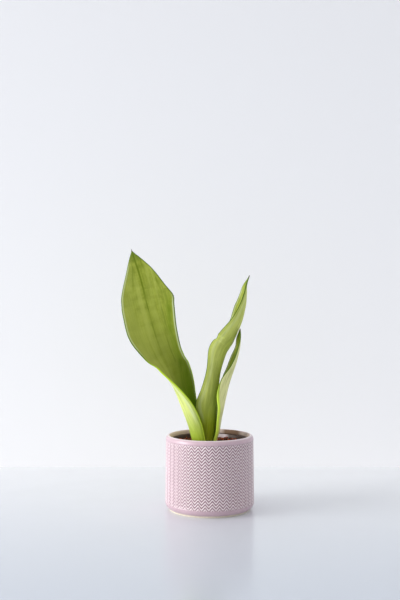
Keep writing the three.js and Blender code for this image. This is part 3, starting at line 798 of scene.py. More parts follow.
def leaf_patterns(tree, given):
    """Mottling stretched along or across the leaf, with the leaf's seed added to each pattern's own."""
    skin = add_node(tree, "ShaderNodeCombineXYZ", {0: given["Across"], 1: given["Along"]}).outputs[0]
    patterns = {}
    for title, (stretch, size, own_seed, low, high) in LEAF_PATTERNS.items():
        seed = calculate(tree, "ADD", given["Seed"], own_seed)
        patterns[title] = cloudy(tree, skin, size, seed, stretch, low, high)
    return patterns


print("patterns of the leaf:", list(LEAF_PATTERNS))


# %% Lines along the leaf
LEAF_LINES = {  # place, width and blur, in mm, or as shares of a half's width where that is said
    "sides": (0.66, 0.3, 0.12),  # shares
    "second vein": (0.46, 0.03, 0.06),  # shares
    "rib": (0.8, 1.0, 1.4), "beside rib": (-11.0, 9.0, 6.0), "stripe": (7.5, 3.0, 3.0),  # from the rib
    "shade": (8.0, 3.0, 6.0), "strip": (1.9, 1.0, 0.9),  # from the margin, on the inner face: painted shade and a painted highlight strip
    "pale back": (6.0, 1.5, 2.5), "dark back": (2.4, 1.2, 1.0),  # from the margin, on the outer face: a painted highlight and a dark line
}
NEAR_TIP = {  # distances from the tip in mm: in full up to the first, and gone from the second on
    "upper": (60.0, 130.0), "beside rib": (95.0, 125.0), "rib": (90.0, 170.0), "second vein": (45.0, 75.0),
    "strip": (130.0, 160.0), "rim": (8.0, 24.0), "dry": (2.0, 6.0),
}
OFF_TIP = {  # nothing up to the first, and in full from the second on
    "beside rib": (20.0, 34.0), "stripe": (28.0, 60.0), "shade": (60.0, 100.0), "strip": (14.0, 30.0),
    "right strip": (70.0, 90.0),
}


def leaf_line(tree, title, distance):
    """One of the lines, where the distance comes to its place."""
    return striped(tree, distance, *LEAF_LINES[title])


def near_tip(tree, given, title):
    """1 near the tip and 0 further down."""
    return ramp(tree, given["To tip"], *NEAR_TIP[title], 1.0, 0.0)


def off_tip(tree, given, title):
    """0 near the tip and 1 further down."""
    return ramp(tree, given["To tip"], *OFF_TIP[title])


print("lines on the leaf:", list(LEAF_LINES))


# %% How strong the markings are
INNER_SHARES = {
    "fibres": 0.3, "broad fibres": 0.25, "blotches": 0.3, "clouds": 0.4, "beside rib": 0.45, "stripe": 0.4,
    "second vein": 0.6, "veins": 0.9, "shade": 0.3, "strip": 0.65, "trough": 0.9,
}
BAND_SHARES, SIDE_SHARES = (0.3, 0.6), (0.55, 0.2)  # low and high on the leaf, and at its right and left
RIB_SHARES = (0.35, 1.0)  # where the streaks are absent, and where they are strong
RIB_WANDERS = 1.6
TROUGH_START = 60.0
TROUGH_HIGHER = (-0.7, 0.1, 40.0, 0.0)  # across the leaf from, to: how much higher it is deep green
LIT_HALF, SHADED_HALF = (0.25, 0.65, 0.0, 0.35), (-0.1, 0.35, 0.14, 0.0)  # from, to: share there
print("shares of the inner face:", INNER_SHARES)


# %% The inner face
def leaf_front(tree, given, seen):
    """The inner face: fibres, bands and clouds, the rib, the pale strips of painted highlight, the painted
    lit and shaded halves, and the deep green trough, which is partly painted shade.
    """
    across, from_margin = given["Across"], given["From margin"]
    light, vein, deep, painted_highlight = [given[title] for title in ("Light band", "Vein", "Deep", "Painted highlight")]
    distance = calculate(tree, "ABSOLUTE", across)
    share = calculate(tree, "DIVIDE", across, calculate(tree, "ADD", distance, from_margin))
    wandering = calculate(tree, "ADD", across, times(tree, seen["drift"], RIB_WANDERS))
    left = ramp(tree, across, -1.0, 1.0)
    right = ramp(tree, across, -1.0, 1.0, 1.0, 0.0)
    upper = near_tip(tree, given, "upper")

    sides = times(tree, leaf_line(tree, "sides", calculate(tree, "ABSOLUTE", share)), seen["streaks"],
                  ramp(tree, left, 0.0, 1.0, *SIDE_SHARES))
    beside_rib = times(tree, leaf_line(tree, "beside rib", wandering), seen["broad fibres"],
                       near_tip(tree, given, "beside rib"), off_tip(tree, given, "beside rib"))
    stripe = times(tree, leaf_line(tree, "stripe", wandering), off_tip(tree, given, "stripe"))
    rib = times(tree, leaf_line(tree, "rib", wandering), near_tip(tree, given, "rib"),
                ramp(tree, seen["streaks"], 0.0, 1.0, *RIB_SHARES))
    second_vein = times(tree, leaf_line(tree, "second vein", share), near_tip(tree, given, "second vein"),
                        INNER_SHARES["second vein"])
    shade = times(tree, leaf_line(tree, "shade", from_margin), right, off_tip(tree, given, "shade"))
    left_strip = times(tree, left, off_tip(tree, given, "strip"), near_tip(tree, given, "strip"))
    right_strip = times(tree, right, off_tip(tree, given, "right strip"))
    both_strips = calculate(tree, "ADD", left_strip, right_strip)
    strip = times(tree, leaf_line(tree, "strip", from_margin), both_strips)
    # Low in the trough the inner face is painted a deeper green: partly the leaf's own colour, partly
    # painted shade.
    trough_end = calculate(tree, "ADD", given["Deep until"], ramp(tree, share, *TROUGH_HIGHER))
    trough = ramp(tree, given["Along"], TROUGH_START, trough_end, 1.0, 0.0)

    def part(title, mask):
        """The mask, weakened to its share."""
        return times(tree, mask, INNER_SHARES[title])

    return layered(
        tree, given["Inner"],
        (part("fibres", seen["fibres"]), vein),
        (part("broad fibres", seen["broad fibres"]), light),
        (times(tree, seen["bands"], ramp(tree, upper, 0.0, 1.0, *BAND_SHARES)), vein),
        (part("blotches", seen["blotches"]), light),
        (part("clouds", times(tree, seen["clouds"], upper)), vein),
        (sides, vein),
        (part("beside rib", beside_rib), light),
        (part("stripe", stripe), light),
        (part("veins", calculate(tree, "MAXIMUM", rib, second_vein)), vein),
        (part("shade", shade), deep),
        (part("strip", strip), painted_highlight),
        (ramp(tree, share, *LIT_HALF), light),
        (ramp(tree, share, *SHADED_HALF), vein),
        (part("trough", trough), deep))


# %% The outer face, the rim and the tip
OUTER_BLEND, RIM_BLEND = 50.0, 40.0  # mm along the leaf over which the low colours give way
PALE_BACK_START = (50.0, 70.0)
OUTER_SHARES = {"fibres": 0.25, "streaks": 0.3, "dark back": 0.8}
HIGH_RIM_WIDTH, RIM_BLUR, TIP_RIM_SHARE = 0.6, 0.5, 0.6
BROAD_FIBRE_HEIGHT = 0.6  # against fine fibres of 1


def leaf_back(tree, given, seen):
    """The outer face: a pale green with fibres, and a painted highlight and a dark line inside the margin.
    """
    start, from_margin = given["Outer low until"], given["From margin"]
    upper = ramp(tree, given["Along"], start, calculate(tree, "ADD", start, OUTER_BLEND))
    pale = times(tree, leaf_line(tree, "pale back", from_margin), given["Pale strip"],
                 ramp(tree, given["Along"], *PALE_BACK_START))
    dark = times(tree, leaf_line(tree, "dark back", from_margin), given["Pale strip"],
                 OUTER_SHARES["dark back"])
    return layered(
        tree, given["Outer low"],
        (upper, given["Outer"]),
        (times(tree, seen["fibres"], OUTER_SHARES["fibres"]), given["Light band"]),
        (times(tree, seen["streaks"], OUTER_SHARES["streaks"]), given["Vein"]),
        (pale, given["Painted highlight"]),
        (dark, given["Deep"]))


def build_leaf_markings():
    """Colour and height of leaf skin from the way across it, along it and to its margin and tip."""
    inputs = {**LEAF_PLACES, **LEAF_COLOURS, **LEAF_LENGTHS}
    tree, given, result = new_group("leaf markings", inputs, Color="Color", Height="Float")
    seen = leaf_patterns(tree, given)
    start = given["Rim low until"]
    high = ramp(tree, given["Along"], start, calculate(tree, "ADD", start, RIM_BLEND))
    rim_width = ramp(tree, high, 0.0, 1.0, given["Rim width"], HIGH_RIM_WIDTH)
    past_rim = calculate(tree, "SUBTRACT", given["From margin"], rim_width)
    rim = ramp(tree, past_rim, 0.0, RIM_BLUR, 1.0, 0.0)
    colour = layered(
        tree, leaf_back(tree, given, seen),
        (given["Inner face"], leaf_front(tree, given, seen)),
        (rim, layered(tree, given["Rim low"], (high, given["Rim high"]))),
        (times(tree, near_tip(tree, given, "rim"), TIP_RIM_SHARE), given["Rim high"]),
        (near_tip(tree, given, "dry"), given["Dry tip"]))
    broad = times(tree, seen["broad fibres"], BROAD_FIBRE_HEIGHT)
    feed(tree, result, Color=colour, Height=calculate(tree, "ADD", seen["fibres"], broad))
    return tree


LEAF_MARKINGS = build_leaf_markings()
print("the leaf markings are", len(LEAF_MARKINGS.nodes), "nodes")

# %% Finish each leaf
FIBRE_RELIEF = 0.08
LEAF_HABITS = {
    "leaf_left": {"Seed": 2.0, "Deep until": 122.0, "Rim low until": 130.0, "Rim width": 0.9,
                  "Pale strip": 0.45, "Outer": paint(222, 234, 140)},
    # The middle leaf's dark olive low back is partly painted shade from the leaves round its foot.
    "leaf_middle": {"Seed": 31.0, "Deep until": 70.0, "Outer low until": 50.0, "Rim low until": 10.0,
                    "Pale strip": 0.2, "Outer low": paint(144, 160, 10)},
    "leaf_right": {"Seed": 57.0, "Deep until": 100.0, "Rim low until": 80.0, "Rim width": 3.2,
                   "Pale strip": 0.0, "Outer": paint(246, 246, 176), "Outer low": paint(224, 230, 140),
                   "Rim low": paint(226, 255, 96)},
}


def leaf_finish(name, habits):
    """Waxy skin with the shared markings, and a faint relief of its fibres."""
    finish, tree, shader = new_finish(name, Roughness=0.5, Specular_IOR_Level=0.08, Coat_Weight=0.03,
                                      Coat_Roughness=0.3)
    measured = [title for title in LEAF_PLACES if title != "Seed"]
    values = {title: point_value(tree, title.lower().replace(" ", "_")) for title in measured}
    markings = use_group(tree, LEAF_MARKINGS, {**values, **habits})
    feed(tree, shader, Base_Color=markings["Color"], Normal=bumped(tree, markings["Height"], FIBRE_RELIEF))
    return finish


for node_name, leaf in leaves.items():
    leaf.data.materials.append(leaf_finish(node_name.replace("leaf", "skin"), LEAF_HABITS[node_name]))
print("leaf finishes:", [leaf.data.materials[0].name for leaf in leaves.values()])

# %% [markdown]
# ## The nursery pot
#
# Inside the cover pot stands the thin, taupe plastic pot that the plant was grown in. Its wall
# leans out to a shoulder, with a stacking collar and a rolled rim above it. Only the rim and the
# inside of the collar show. The drain holes in its floor are cut with a Boolean modifier, which
# is then applied, because a hole beside the axis doesn't fit a turned grid.

# %% Turn the nursery pot
NURSERY_LOW, NURSERY_HIGH = node_box("nursery_pot")
RIM_RADIUS, RIM_HEIGHT, NURSERY_FLOOR = NURSERY_HIGH[0], NURSERY_HIGH[2], NURSERY_LOW[2]
NURSERY_WALL = 1.3
BASE_RADIUS, SHOULDER, COLLAR_RADIUS = 38.0, (47.9, 85.0), 49.6
RIM_ROUND, BASE_ROUND, FLOOR_ROUND = 0.6, 1.5, 1.2
SHOULDER_STEP = 0.6  # how much higher the collar starts than the wall ends
INNER_STEPS = (0.4, 1.4)  # how much higher than the shoulder the inner wall ends, and its collar starts
WALL_LEAN = -5  # where the roundings of the floor meet the wall, in degrees
NURSERY_COLUMNS = 128
NURSERY_STEPS = {"floor": 4, "corner": 4, "wall": 12, "shoulder": 3, "collar": 5, "rim": 8}


def nursery_profile():
    """Up the outside, over the rolled rim, down the inside one wall further in, to the middle."""
    steps, half_wall = NURSERY_STEPS, NURSERY_WALL / 2
    rim_centre = (RIM_RADIUS - half_wall, RIM_HEIGHT - RIM_ROUND)
    rim = ellipse_arc(rim_centre, (half_wall, RIM_ROUND), 0, 180, steps["rim"])
    collar = (COLLAR_RADIUS, SHOULDER[1] + SHOULDER_STEP)
    inner_collar = (COLLAR_RADIUS - NURSERY_WALL, SHOULDER[1] + INNER_STEPS[1])
    inner_shoulder = (SHOULDER[0] - NURSERY_WALL, SHOULDER[1] + INNER_STEPS[0])
    floor = NURSERY_FLOOR + NURSERY_WALL
    corner_centre = (BASE_RADIUS - BASE_ROUND, NURSERY_FLOOR + BASE_ROUND)
    corner = ellipse_arc(corner_centre, (BASE_ROUND, BASE_ROUND), -90, WALL_LEAN, steps["corner"])
    inner_centre = (BASE_RADIUS - NURSERY_WALL - FLOOR_ROUND, floor + FLOOR_ROUND)
    inner_corner = ellipse_arc(inner_centre, (FLOOR_ROUND, FLOOR_ROUND), WALL_LEAN, -90, steps["corner"])
    return join_profile(
        straight((0, NURSERY_FLOOR), (BASE_RADIUS - BASE_ROUND, NURSERY_FLOOR), steps["floor"]),
        corner,
        straight(corner[-1], SHOULDER, steps["wall"]),
        straight(SHOULDER, collar, steps["shoulder"]),
        straight(collar, rim[0], steps["collar"]),
        rim,
        straight(rim[-1], inner_collar, steps["collar"]),
        straight(inner_collar, inner_shoulder, steps["shoulder"]),
        straight(inner_shoulder, inner_corner[0], steps["wall"]),
        inner_corner,
        straight(inner_corner[-1], (0, floor), steps["floor"]))


profile = nursery_profile()
nursery = turned_skin("growers_pot", profile[:, :1], profile[:, 1:], NURSERY_COLUMNS)


# %% Drill the floor
DRAIN_HOLES, DRAIN_RADIUS, DRAIN_CIRCLE = 6, 3.2, 24.0
DRILL_SIDES, DRILL_REACH = 24, (-3.0, 5.0)  # how far a bit reaches below and above the floor


def drill_bits():
    """Six upright rods through the floor, each a ring of points with its two ends drawn to a point."""
    radii = np.array([0, DRAIN_RADIUS, DRAIN_RADIUS, 0])[:, None]
    heights = NURSERY_FLOOR + np.repeat(DRILL_REACH, 2)[:, None]
    angle = round_angles(DRILL_SIDES)
    rod = np.stack([radii * np.cos(angle), radii * np.sin(angle), heights + 0 * angle], -1)
    around = round_angles(DRAIN_HOLES)
    places = DRAIN_CIRCLE * np.column_stack([np.cos(around), np.sin(around), 0 * around])
    rods = rod[None] + places[:, None, None, :]
    rings = len(radii)
    quads = repeated(grid_quads(rings, DRILL_SIDES), DRAIN_HOLES, rings * DRILL_SIDES)
    bits = mesh_object("drill_bits", rods, quads)
    close_poles(bits)
    return bits


def cut_and_apply(piece, cutter):
    """Takes the cutter out of the piece for good, and removes the cutter."""
    modifier = piece.modifiers.new("cut", "BOOLEAN")
    modifier.object, modifier.solver = cutter, "EXACT"
    shown = piece.evaluated_get(bpy.context.evaluated_depsgraph_get())
    finished = bpy.data.meshes.new_from_object(shown)
    piece.modifiers.clear()
    piece.data = finished
    bpy.data.objects.remove(cutter)


cut_and_apply(nursery, drill_bits())
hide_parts("nursery_pot")
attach(nursery, "root")
print("growers_pot has", len(nursery.data.polygons), "faces with its drain holes")


# %% Taupe plastic
TAUPE, TAUPE_DARK = paint(76, 56, 46), paint(56, 40, 32)
LIT_PATCH, DUST = paint(226, 212, 220), paint(120, 86, 66)
FLOW_SHARE, LIT_PATCH_SHARE, DUST_SHARE = 0.5, 0.85, 0.5
LIT_PATCH_PLACE, LIT_PATCH_WIDTH, LIT_PATCH_BLUR = 15.0, 12.0, 8.0  # a painted pool of light, along x, on the rear wall
LIT_PATCH_FROM = (20.0, 30.0)  # along y
SATIN_ROUGHNESS, DUSTY_ROUGHNESS = 0.36, 0.8


def plastic_finish():
    """Moulded plastic with a satin gloss, faint flow marks, dust near the soil, and a painted pool of
    light on one side of the rear wall."""
    finish, tree, shader = new_finish("taupe_plastic", IOR=1.46, Specular_IOR_Level=0.25)
    place = object_mm(tree)
    x, y, z = axes_of(tree, place)
    flow = times(tree, cloudy(tree, place, size=9.0, seed=4.0, stretch=(1.0, 1.0, 0.15)), FLOW_SHARE)
    # A painted pool of light on the rear inner wall.
    lit_patch = times(tree, striped(tree, x, LIT_PATCH_PLACE, LIT_PATCH_WIDTH, LIT_PATCH_BLUR), ramp(tree, y, *LIT_PATCH_FROM),
                 LIT_PATCH_SHARE)
    low = ramp(tree, z, SHOULDER[1] + 3, RIM_HEIGHT, 1.0, 0.0)
    dust = times(tree, low, cloudy(tree, place, size=3.0, seed=6.0, low=0.45, high=0.7), DUST_SHARE)
    colour = layered(tree, TAUPE, (flow, TAUPE_DARK), (lit_patch, LIT_PATCH), (dust, DUST))
    roughness = ramp(tree, dust, 0.0, DUST_SHARE, SATIN_ROUGHNESS, DUSTY_ROUGHNESS)
    feed(tree, shader, Base_Color=colour, Roughness=roughness, Normal=grainy(tree, size=0.7, depth=0.03))
    return finish


nursery.data.materials.append(plastic_finish())
print("finish:", nursery.data.materials[0].name)

# %% [markdown]
# ## The potting mix
#
# The mix is mostly coir: reddish-brown pith with chips of husk and loose fibres on top. The bed is
# a closed body with a lumpy top. Chips and fibres are scattered on it with a seeded random draw,
# and keep clear of the leaves. Each chip is a knocked-about icosahedron of 20 faces, and each
# fibre a bent, three-sided thread, so thousands of them stay light. A bump in the finish would
# be lighter still, but from above the outlines of single chips show.

# %% The bed
SOIL_BOTTOM = node_box("soil")[0][2]
SOIL_LEVEL = 89.5
SOIL_BUMP = 0.8
SOIL_COLUMNS = 200
SOIL_RINGS = 60
SOIL_TOP_RADIUS = 48.2
SOIL_GAP = 0.4  # between the bed and the plastic wall
LUMPS = ((0.55, 7.0, 3), (0.4, 2.4, 4))  # height, size and seed
NET = 64  # random heights along each side of their net
draw = np.random.default_rng(11)


def random_lumps(x, y, size, seed):
    """Smooth random heights from -1 to 1: random values on a square net of that size, blended by
    the smoothstep of the place inside each square."""
    net = np.random.default_rng(seed).uniform(-1, 1, (NET, NET))
    gx, gy = x / size + NET / 2, y / size + NET / 2
    i, j = gx.astype(int) % (NET - 1), gy.astype(int) % (NET - 1)
    fx, fy = smooth(gx % 1, 0, 1), smooth(gy % 1, 0, 1)
    low = net[i, j] * (1 - fx) + net[i + 1, j] * fx
    high = net[i, j + 1] * (1 - fx) + net[i + 1, j + 1] * fx
    return low * (1 - fy) + high * fy


def soil_height(x, y):
    """The frame's gentle waves, with lumps of 7 and 2.4 mm on them."""
    waves = np.sin(x * 0.23 + 1.1) * np.cos(y * 0.19) + 0.6 * np.sin(x * 0.41 - y * 0.37)
    lumps = sum(height * random_lumps(x, y, size, seed) for height, size, seed in LUMPS)
    return SOIL_LEVEL + SOIL_BUMP * waves / 1.6 + lumps


def soil_bed():
    """Rings up the side of the bed, inside the plastic wall, and inwards over its lumpy top."""
    inner = NURSERY_WALL + SOIL_GAP
    side = np.vstack([
        straight((0, SOIL_BOTTOM), (BASE_RADIUS - inner - 2, SOIL_BOTTOM), 4),
        straight((BASE_RADIUS - inner, SOIL_BOTTOM + 2.4), (SHOULDER[0] - inner, SHOULDER[1] + 0.3), 10),
        [(COLLAR_RADIUS - inner, SHOULDER[1] + 2)]])
    rings = SOIL_TOP_RADIUS * (1 - np.linspace(0, 1, SOIL_RINGS + 1))
    radii = np.concatenate([side[:, 0], rings])[:, None] + np.zeros(SOIL_COLUMNS)
    angle = round_angles(SOIL_COLUMNS)
    top = soil_height(rings[:, None] * np.cos(angle), rings[:, None] * np.sin(angle))
    heights = np.vstack([side[:, 1:] + 0 * angle, top])
    return turned_skin("soil_bed", radii, heights, SOIL_COLUMNS)


bed = soil_bed()
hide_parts("soil")
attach(bed, "root")


# %% Free places on the bed
LEAF_FOOT = 0.25  # share of a leaf in which it passes the bed
FOOT_ROWS, FOOT_COLUMNS, FOOT_BAND = 120, 41, 1.5


def leaf_places(level):
    """Points of the three blades' middle surface at about that height."""
    found = []
    for stations in LEAF_STATIONS.values():
        share = np.linspace(0, LEAF_FOOT, FOOT_ROWS)[:, None]
        across = np.linspace(-1, 1, FOOT_COLUMNS)
        rib_place, into, left, section = rib_frame(stations, share)
        points = blade_points(rib_place, into, left, section, across, 0 * across)
        found.append(points[np.abs(points[..., 2] - level) < FOOT_BAND][:, :2])
    return np.vstack(found)


def free_places(count, reach, clear):
    """Random places on the bed, spread evenly over it, at least clear from every blade."""
    radius = reach * np.sqrt(draw.uniform(0, 1, count))
    angle = draw.uniform(0, 2 * np.pi, count)
    places = np.column_stack([radius * np.cos(angle), radius * np.sin(angle)])
    gaps = np.linalg.norm(places[:, None] - leaf_places(SOIL_LEVEL)[None], axis=-1).min(1)
    return places[gaps > clear]


def random_turns(count):
    """Evenly random turns, as unit quaternions (w, x, y, z) made into 3 by 3 matrices."""
    w, x, y, z = unit(draw.normal(size=(count, 4))).T
    rows = [[1 - 2 * (y * y + z * z), 2 * (x * y - w * z), 2 * (x * z + w * y)],
            [2 * (x * y + w * z), 1 - 2 * (x * x + z * z), 2 * (y * z - w * x)],
            [2 * (x * z - w * y), 2 * (y * z + w * x), 1 - 2 * (x * x + y * y)]]
    return np.array(rows).transpose(2, 0, 1)


print(len(leaf_places(SOIL_LEVEL)), "points of the blades lie at the level of the bed")


# %% Husk chips
CHIPS = 1500
CHIP_SIZES = (0.5, 1.5)  # half of a chip's middle length
CHIP_STRETCH, CHIP_KNOCKS = (0.5, 1.7), (0.7, 1.2)  # of its three lengths, and of each corner
CHIP_RISE = (-0.2, 0.7)  # of its middle above the bed
CHIP_REACH, CHIP_CLEAR = 1.5, 3.2  # from the wall of the pot, and from the leaves


def icosahedron():
    """Corners (0, 1, g), (1, g, 0), (g, 0, 1) with every sign, g the golden ratio, and the 20 faces
    whose three corners lie 2 apart."""
    golden = (1 + 5**0.5) / 2
    plane = np.array([(a, b * golden) for a in (-1, 1) for b in (-1, 1)])
    zero = np.zeros((4, 1))
    corners = np.vstack([np.hstack([zero, plane]), np.hstack([plane, zero]),
                         np.hstack([plane[:, 1:], zero, plane[:, :1]])])
    i, j, k = np.meshgrid(*[np.arange(12)] * 3, indexing="ij")
    apart = np.linalg.norm(corners[:, None] - corners[None], axis=-1)
    near = np.isclose(apart, 2)
    normals = np.cross(corners[j] - corners[i], corners[k] - corners[i])
    outward = np.einsum("ijkc,ijkc->ijk", normals, corners[i])
    chosen = near[i, j] & near[j, k] & near[i, k] & (i < j) & (i < k) & (outward > 0)
    return unit(corners), np.stack([i[chosen], j[chosen], k[chosen]], -1)


def husk_chips():
    """Each chip is the icosahedron, stretched, knocked about, turned and sunk by half into the bed."""
    corners, faces = icosahedron()
    places = free_places(CHIPS, SOIL_TOP_RADIUS - CHIP_REACH, CHIP_CLEAR)
    count = len(places)
    size = draw.uniform(*CHIP_SIZES, (count, 1, 1)) * draw.uniform(*CHIP_STRETCH, (count, 1, 3))
    knocked = corners[None] * draw.uniform(*CHIP_KNOCKS, (count, len(corners), 1)) * size
    turned = np.einsum("nij,npj->npi", random_turns(count), knocked)
    centre = np.column_stack([places, soil_height(*places.T) + draw.uniform(*CHIP_RISE, count)])
    points = turned + centre[:, None]
    tone = np.broadcast_to(draw.uniform(0, 1, (count, 1)), points.shape[:2])
    chips = mesh_object("husk_chips", points, repeated(faces, count, len(corners)), {"tone": tone})
    chips.data.shade_flat()
    print("husk_chips:", count, "chips of", len(faces), "faces")
    return chips


chips = husk_chips()
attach(chips, "root")

# %% Coir fibres
FIBRES = 260
FIBRE_POINTS = 10
FIBRE_SIDES = 3
FIBRE_RADIUS = 0.16
FIBRE_HALF_LENGTH, FIBRE_BEND, FIBRE_BOW = (2.5, 8.0), (-0.5, 0.5), (0.2, 2.2)  # shortest, longest
FIBRE_REACH, FIBRE_CLEAR, FIBRE_RISE = 8.0, 6.5, 0.3  # from the wall, the leaves and the bed


def coir_fibres():
    """Each fibre is an arc on the bed, (s, bend s^2), that bows up in the middle. Three points stand
    round each of its points, and the radius falls to nothing at both ends."""
    places = free_places(FIBRES, SOIL_TOP_RADIUS - FIBRE_REACH, FIBRE_CLEAR)
    count = len(places)
    step = np.linspace(-1, 1, FIBRE_POINTS)
    half_length = draw.uniform(*FIBRE_HALF_LENGTH, (count, 1))
    bend = draw.uniform(*FIBRE_BEND, (count, 1))
    heading = draw.uniform(0, 2 * np.pi, (count, 1))
    s, t = half_length * step, half_length * bend * step**2
    x = places[:, :1] + s * np.cos(heading) - t * np.sin(heading)
    y = places[:, 1:] + s * np.sin(heading) + t * np.cos(heading)
    bow = draw.uniform(*FIBRE_BOW, (count, 1)) * (1 - step**2)
    middle = np.stack([x, y, soil_height(x, y) + FIBRE_RISE + bow], -1)
    radius = FIBRE_RADIUS * (1 - np.abs(step) ** 6)
    side = np.stack([-np.sin(heading), np.cos(heading), 0 * heading], -1)
    around = round_angles(FIBRE_SIDES)
    ring = side[:, :, None] * np.cos(around)[:, None] + np.array([0, 0, 1]) * np.sin(around)[:, None]
    points = middle[:, :, None] + radius[:, None, None] * ring
    quads = repeated(grid_quads(FIBRE_POINTS, FIBRE_SIDES), count, FIBRE_POINTS * FIBRE_SIDES)
    tone = np.broadcast_to(draw.uniform(0, 1, (count, 1, 1)), points.shape[:3])
    fibres = mesh_object("coir_fibres", points, quads, {"tone": tone})
    close_poles(fibres)
    return fibres


fibres = coir_fibres()
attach(fibres, "root")


# %% Damp coir
PITH = paint(44, 20, 12), paint(80, 34, 20), paint(128, 56, 32)
HUSK = paint(54, 22, 14), paint(98, 38, 20), paint(196, 88, 44)
FIBRE = paint(120, 74, 46), paint(150, 98, 62), paint(196, 146, 98)
BRIGHT_FROM = 0.35  # the tone from which the bright brown comes in


def coir_finish(name, dark, middle, bright, toned):
    """Brown that varies in clouds and grains, or with each chip's own tone where toned is true."""
    finish, tree, shader = new_finish(name, Roughness=0.85, Specular_IOR_Level=0.3)
    place = object_mm(tree)
    cloud = cloudy(tree, place, size=5.0, seed=2.0)
    if toned:
        tone = point_value(tree, "tone")
    else:
        tone = cloudy(tree, place, size=1.1, seed=12.0, low=0.4, high=0.62)
    colour = layered(tree, dark, (cloud, middle), (ramp(tree, tone, BRIGHT_FROM, 1.0), bright))
    feed(tree, shader, Base_Color=colour, Normal=grainy(tree, size=0.8, depth=0.5))
    return finish


bed.data.materials.append(coir_finish("coir_pith", *PITH, False))
chips.data.materials.append(coir_finish("coir_husk", *HUSK, True))
fibres.data.materials.append(coir_finish("coir_fibre", *FIBRE, True))
print("coir finishes on", bed.name, chips.name, fibres.name)

# %% [markdown]
# ## The rootstock
#
# The leaves grow from a creeping stem in the mix. Nothing of it shows, so the frame's own solid
# stays as it is, and only gets its finish: pale, corky and streaked with brown.

# %% Finish the rootstock
CORK, CORK_DARK, SCAR = paint(216, 184, 138), paint(190, 148, 100), paint(140, 96, 58)
PATCH_SHARE, SCAR_SHARE = 0.5, 0.5


def rootstock_finish():
    """Pale cork with brown scars round the stem."""
    finish, tree, shader = new_finish("corky_root", Roughness=0.8)
    place = object_mm(tree)
    patches = times(tree, cloudy(tree, place, size=9.0, seed=9.0), PATCH_SHARE)
    scars = times(tree, cloudy(tree, place, size=2.5, seed=7.0, stretch=(1.0, 0.2, 0.2)), SCAR_SHARE)
    feed(tree, shader, Base_Color=layered(tree, CORK, (patches, CORK_DARK), (scars, SCAR)),
         Normal=grainy(tree, size=1.0, depth=0.3))
    return finish


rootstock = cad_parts["rhizome"]
rootstock.data.materials.clear()
rootstock.data.materials.append(rootstock_finish())
print("rhizome wears", rootstock.data.materials[0].name)

# %% [markdown]
# ## Table, wall and light
#
# The plant stands on a pale, slightly glossy table in front of a white wall. A curved backdrop
# would do for both, but here the line where the table ends is meant to show. The wall shows only
# from the front: seen from behind it is clear, so the back of the plant can be looked at too.
# One large window light stands to the left, a little in front, and a pale sky fills the rest.

# %% Set the stage
WALL_DISTANCE = 300.0
TABLE_HALF = 4000.0
WALL_HEIGHT = 4000.0
TABLE_SHADED_FRONT, TABLE_REAR = paint(198, 206, 217), paint(236, 238, 241)
TABLE_BLEND = (-600.0, 400.0)  # along y, from the front colour, which is painted shade, to the rear one
TABLE_ROUGHNESS = (0.2, 0.24)
WALL_BLEND = 1400.0  # height at which the wall has its high colour; lighter below as painted light
WALL_LOW, WALL_HIGH = paint(249, 249, 251), paint(234, 234, 236)


def stage_sheet(name, corners, finish):
    """A flat sheet through four corners in millimetres."""
    sheet = mesh_object(name, np.array(corners, float), np.array([[0, 1, 2, 3]]))
    sheet.data.materials.append(finish)
    return sheet


def table_finish():
    """Pale laminate with a soft gloss, painted a little darker towards the viewer as painted shade."""
    finish, tree, shader = new_finish("pale_table", IOR=1.5)
    place = object_mm(tree)
    rear = ramp(tree, axes_of(tree, place)["Y"], *TABLE_BLEND)
    roughness = ramp(tree, cloudy(tree, place, size=160.0, seed=1.0), 0.0, 1.0, *TABLE_ROUGHNESS)
    feed(tree, shader, Base_Color=layered(tree, TABLE_SHADED_FRONT, (rear, TABLE_REAR)), Roughness=roughness)
    return finish


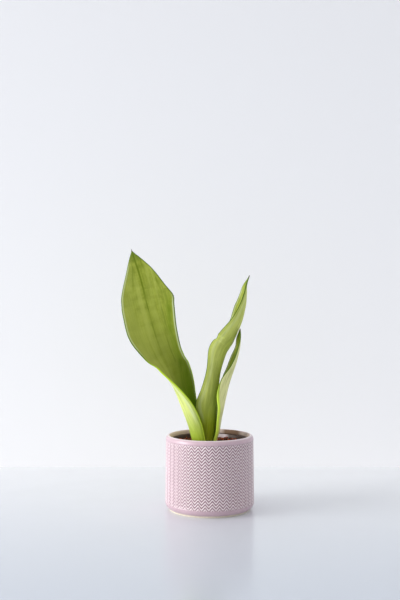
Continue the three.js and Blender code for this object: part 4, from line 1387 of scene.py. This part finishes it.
def wall_finish():
    """White paint in front, painted lighter low down as painted light thrown up by the table and a little
    greyer high up, and nothing at the back.
    """
    finish, tree, shader = new_finish("white_wall", Roughness=0.9)
    high = ramp(tree, axes_of(tree, object_mm(tree))["Z"], 0.0, WALL_BLEND)
    feed(tree, shader, Base_Color=layered(tree, WALL_LOW, (high, WALL_HIGH)))
    clear = add_node(tree, "ShaderNodeBsdfTransparent").outputs[0]
    from_behind = add_node(tree, "ShaderNodeNewGeometry").outputs["Backfacing"]
    sides = {0: from_behind, 1: shader.outputs[0], 2: clear}
    both = add_node(tree, "ShaderNodeMixShader", sides).outputs[0]
    feed(tree, tree.nodes["Material Output"], Surface=both)
    return finish


left, right, rear = -TABLE_HALF, TABLE_HALF, WALL_DISTANCE
table_corners = [(left, left, 0), (right, left, 0), (right, right, 0), (left, right, 0)]
wall_corners = [(left, rear, 0), (right, rear, 0), (right, rear, WALL_HEIGHT), (left, rear, WALL_HEIGHT)]
table = stage_sheet("table", table_corners, table_finish())
wall = stage_sheet("wall", wall_corners, wall_finish())
print("stage:", table.name, wall.name)

# %% Light the stage
WINDOW_PLACE = (-6.6, -1.9, 1.9)
WINDOW_SIZE = (4.0, 3.6)
WINDOW_POWER = 440.0
WINDOW_COLOUR = (1.0, 0.99, 0.98)
WINDOW_AIM = (0.0, 0.0, 0.15)
SKY_COLOUR, SKY_STRENGTH = paint(246, 247, 250), 0.77

window_data = bpy.data.lights.new("window", "AREA")
window_data.shape = "RECTANGLE"
window_data.size, window_data.size_y = WINDOW_SIZE
window_data.energy = WINDOW_POWER
window_data.color = WINDOW_COLOUR
window = bpy.data.objects.new("window", window_data)
window.location = WINDOW_PLACE
away = window.location - type(window.location)(WINDOW_AIM)
window.rotation_euler = away.to_track_quat("Z", "Y").to_euler()
bpy.context.scene.collection.objects.link(window)

sky = bpy.data.worlds.new("pale_sky")
sky.use_nodes = True
sky_light = sky.node_tree.nodes["Background"]
sky_light.inputs["Color"].default_value = SKY_COLOUR
sky_light.inputs["Strength"].default_value = SKY_STRENGTH
bpy.context.scene.world = sky
bpy.context.scene.view_settings.view_transform = "Standard"
print("window of", WINDOW_POWER, "W, sky of", SKY_STRENGTH)
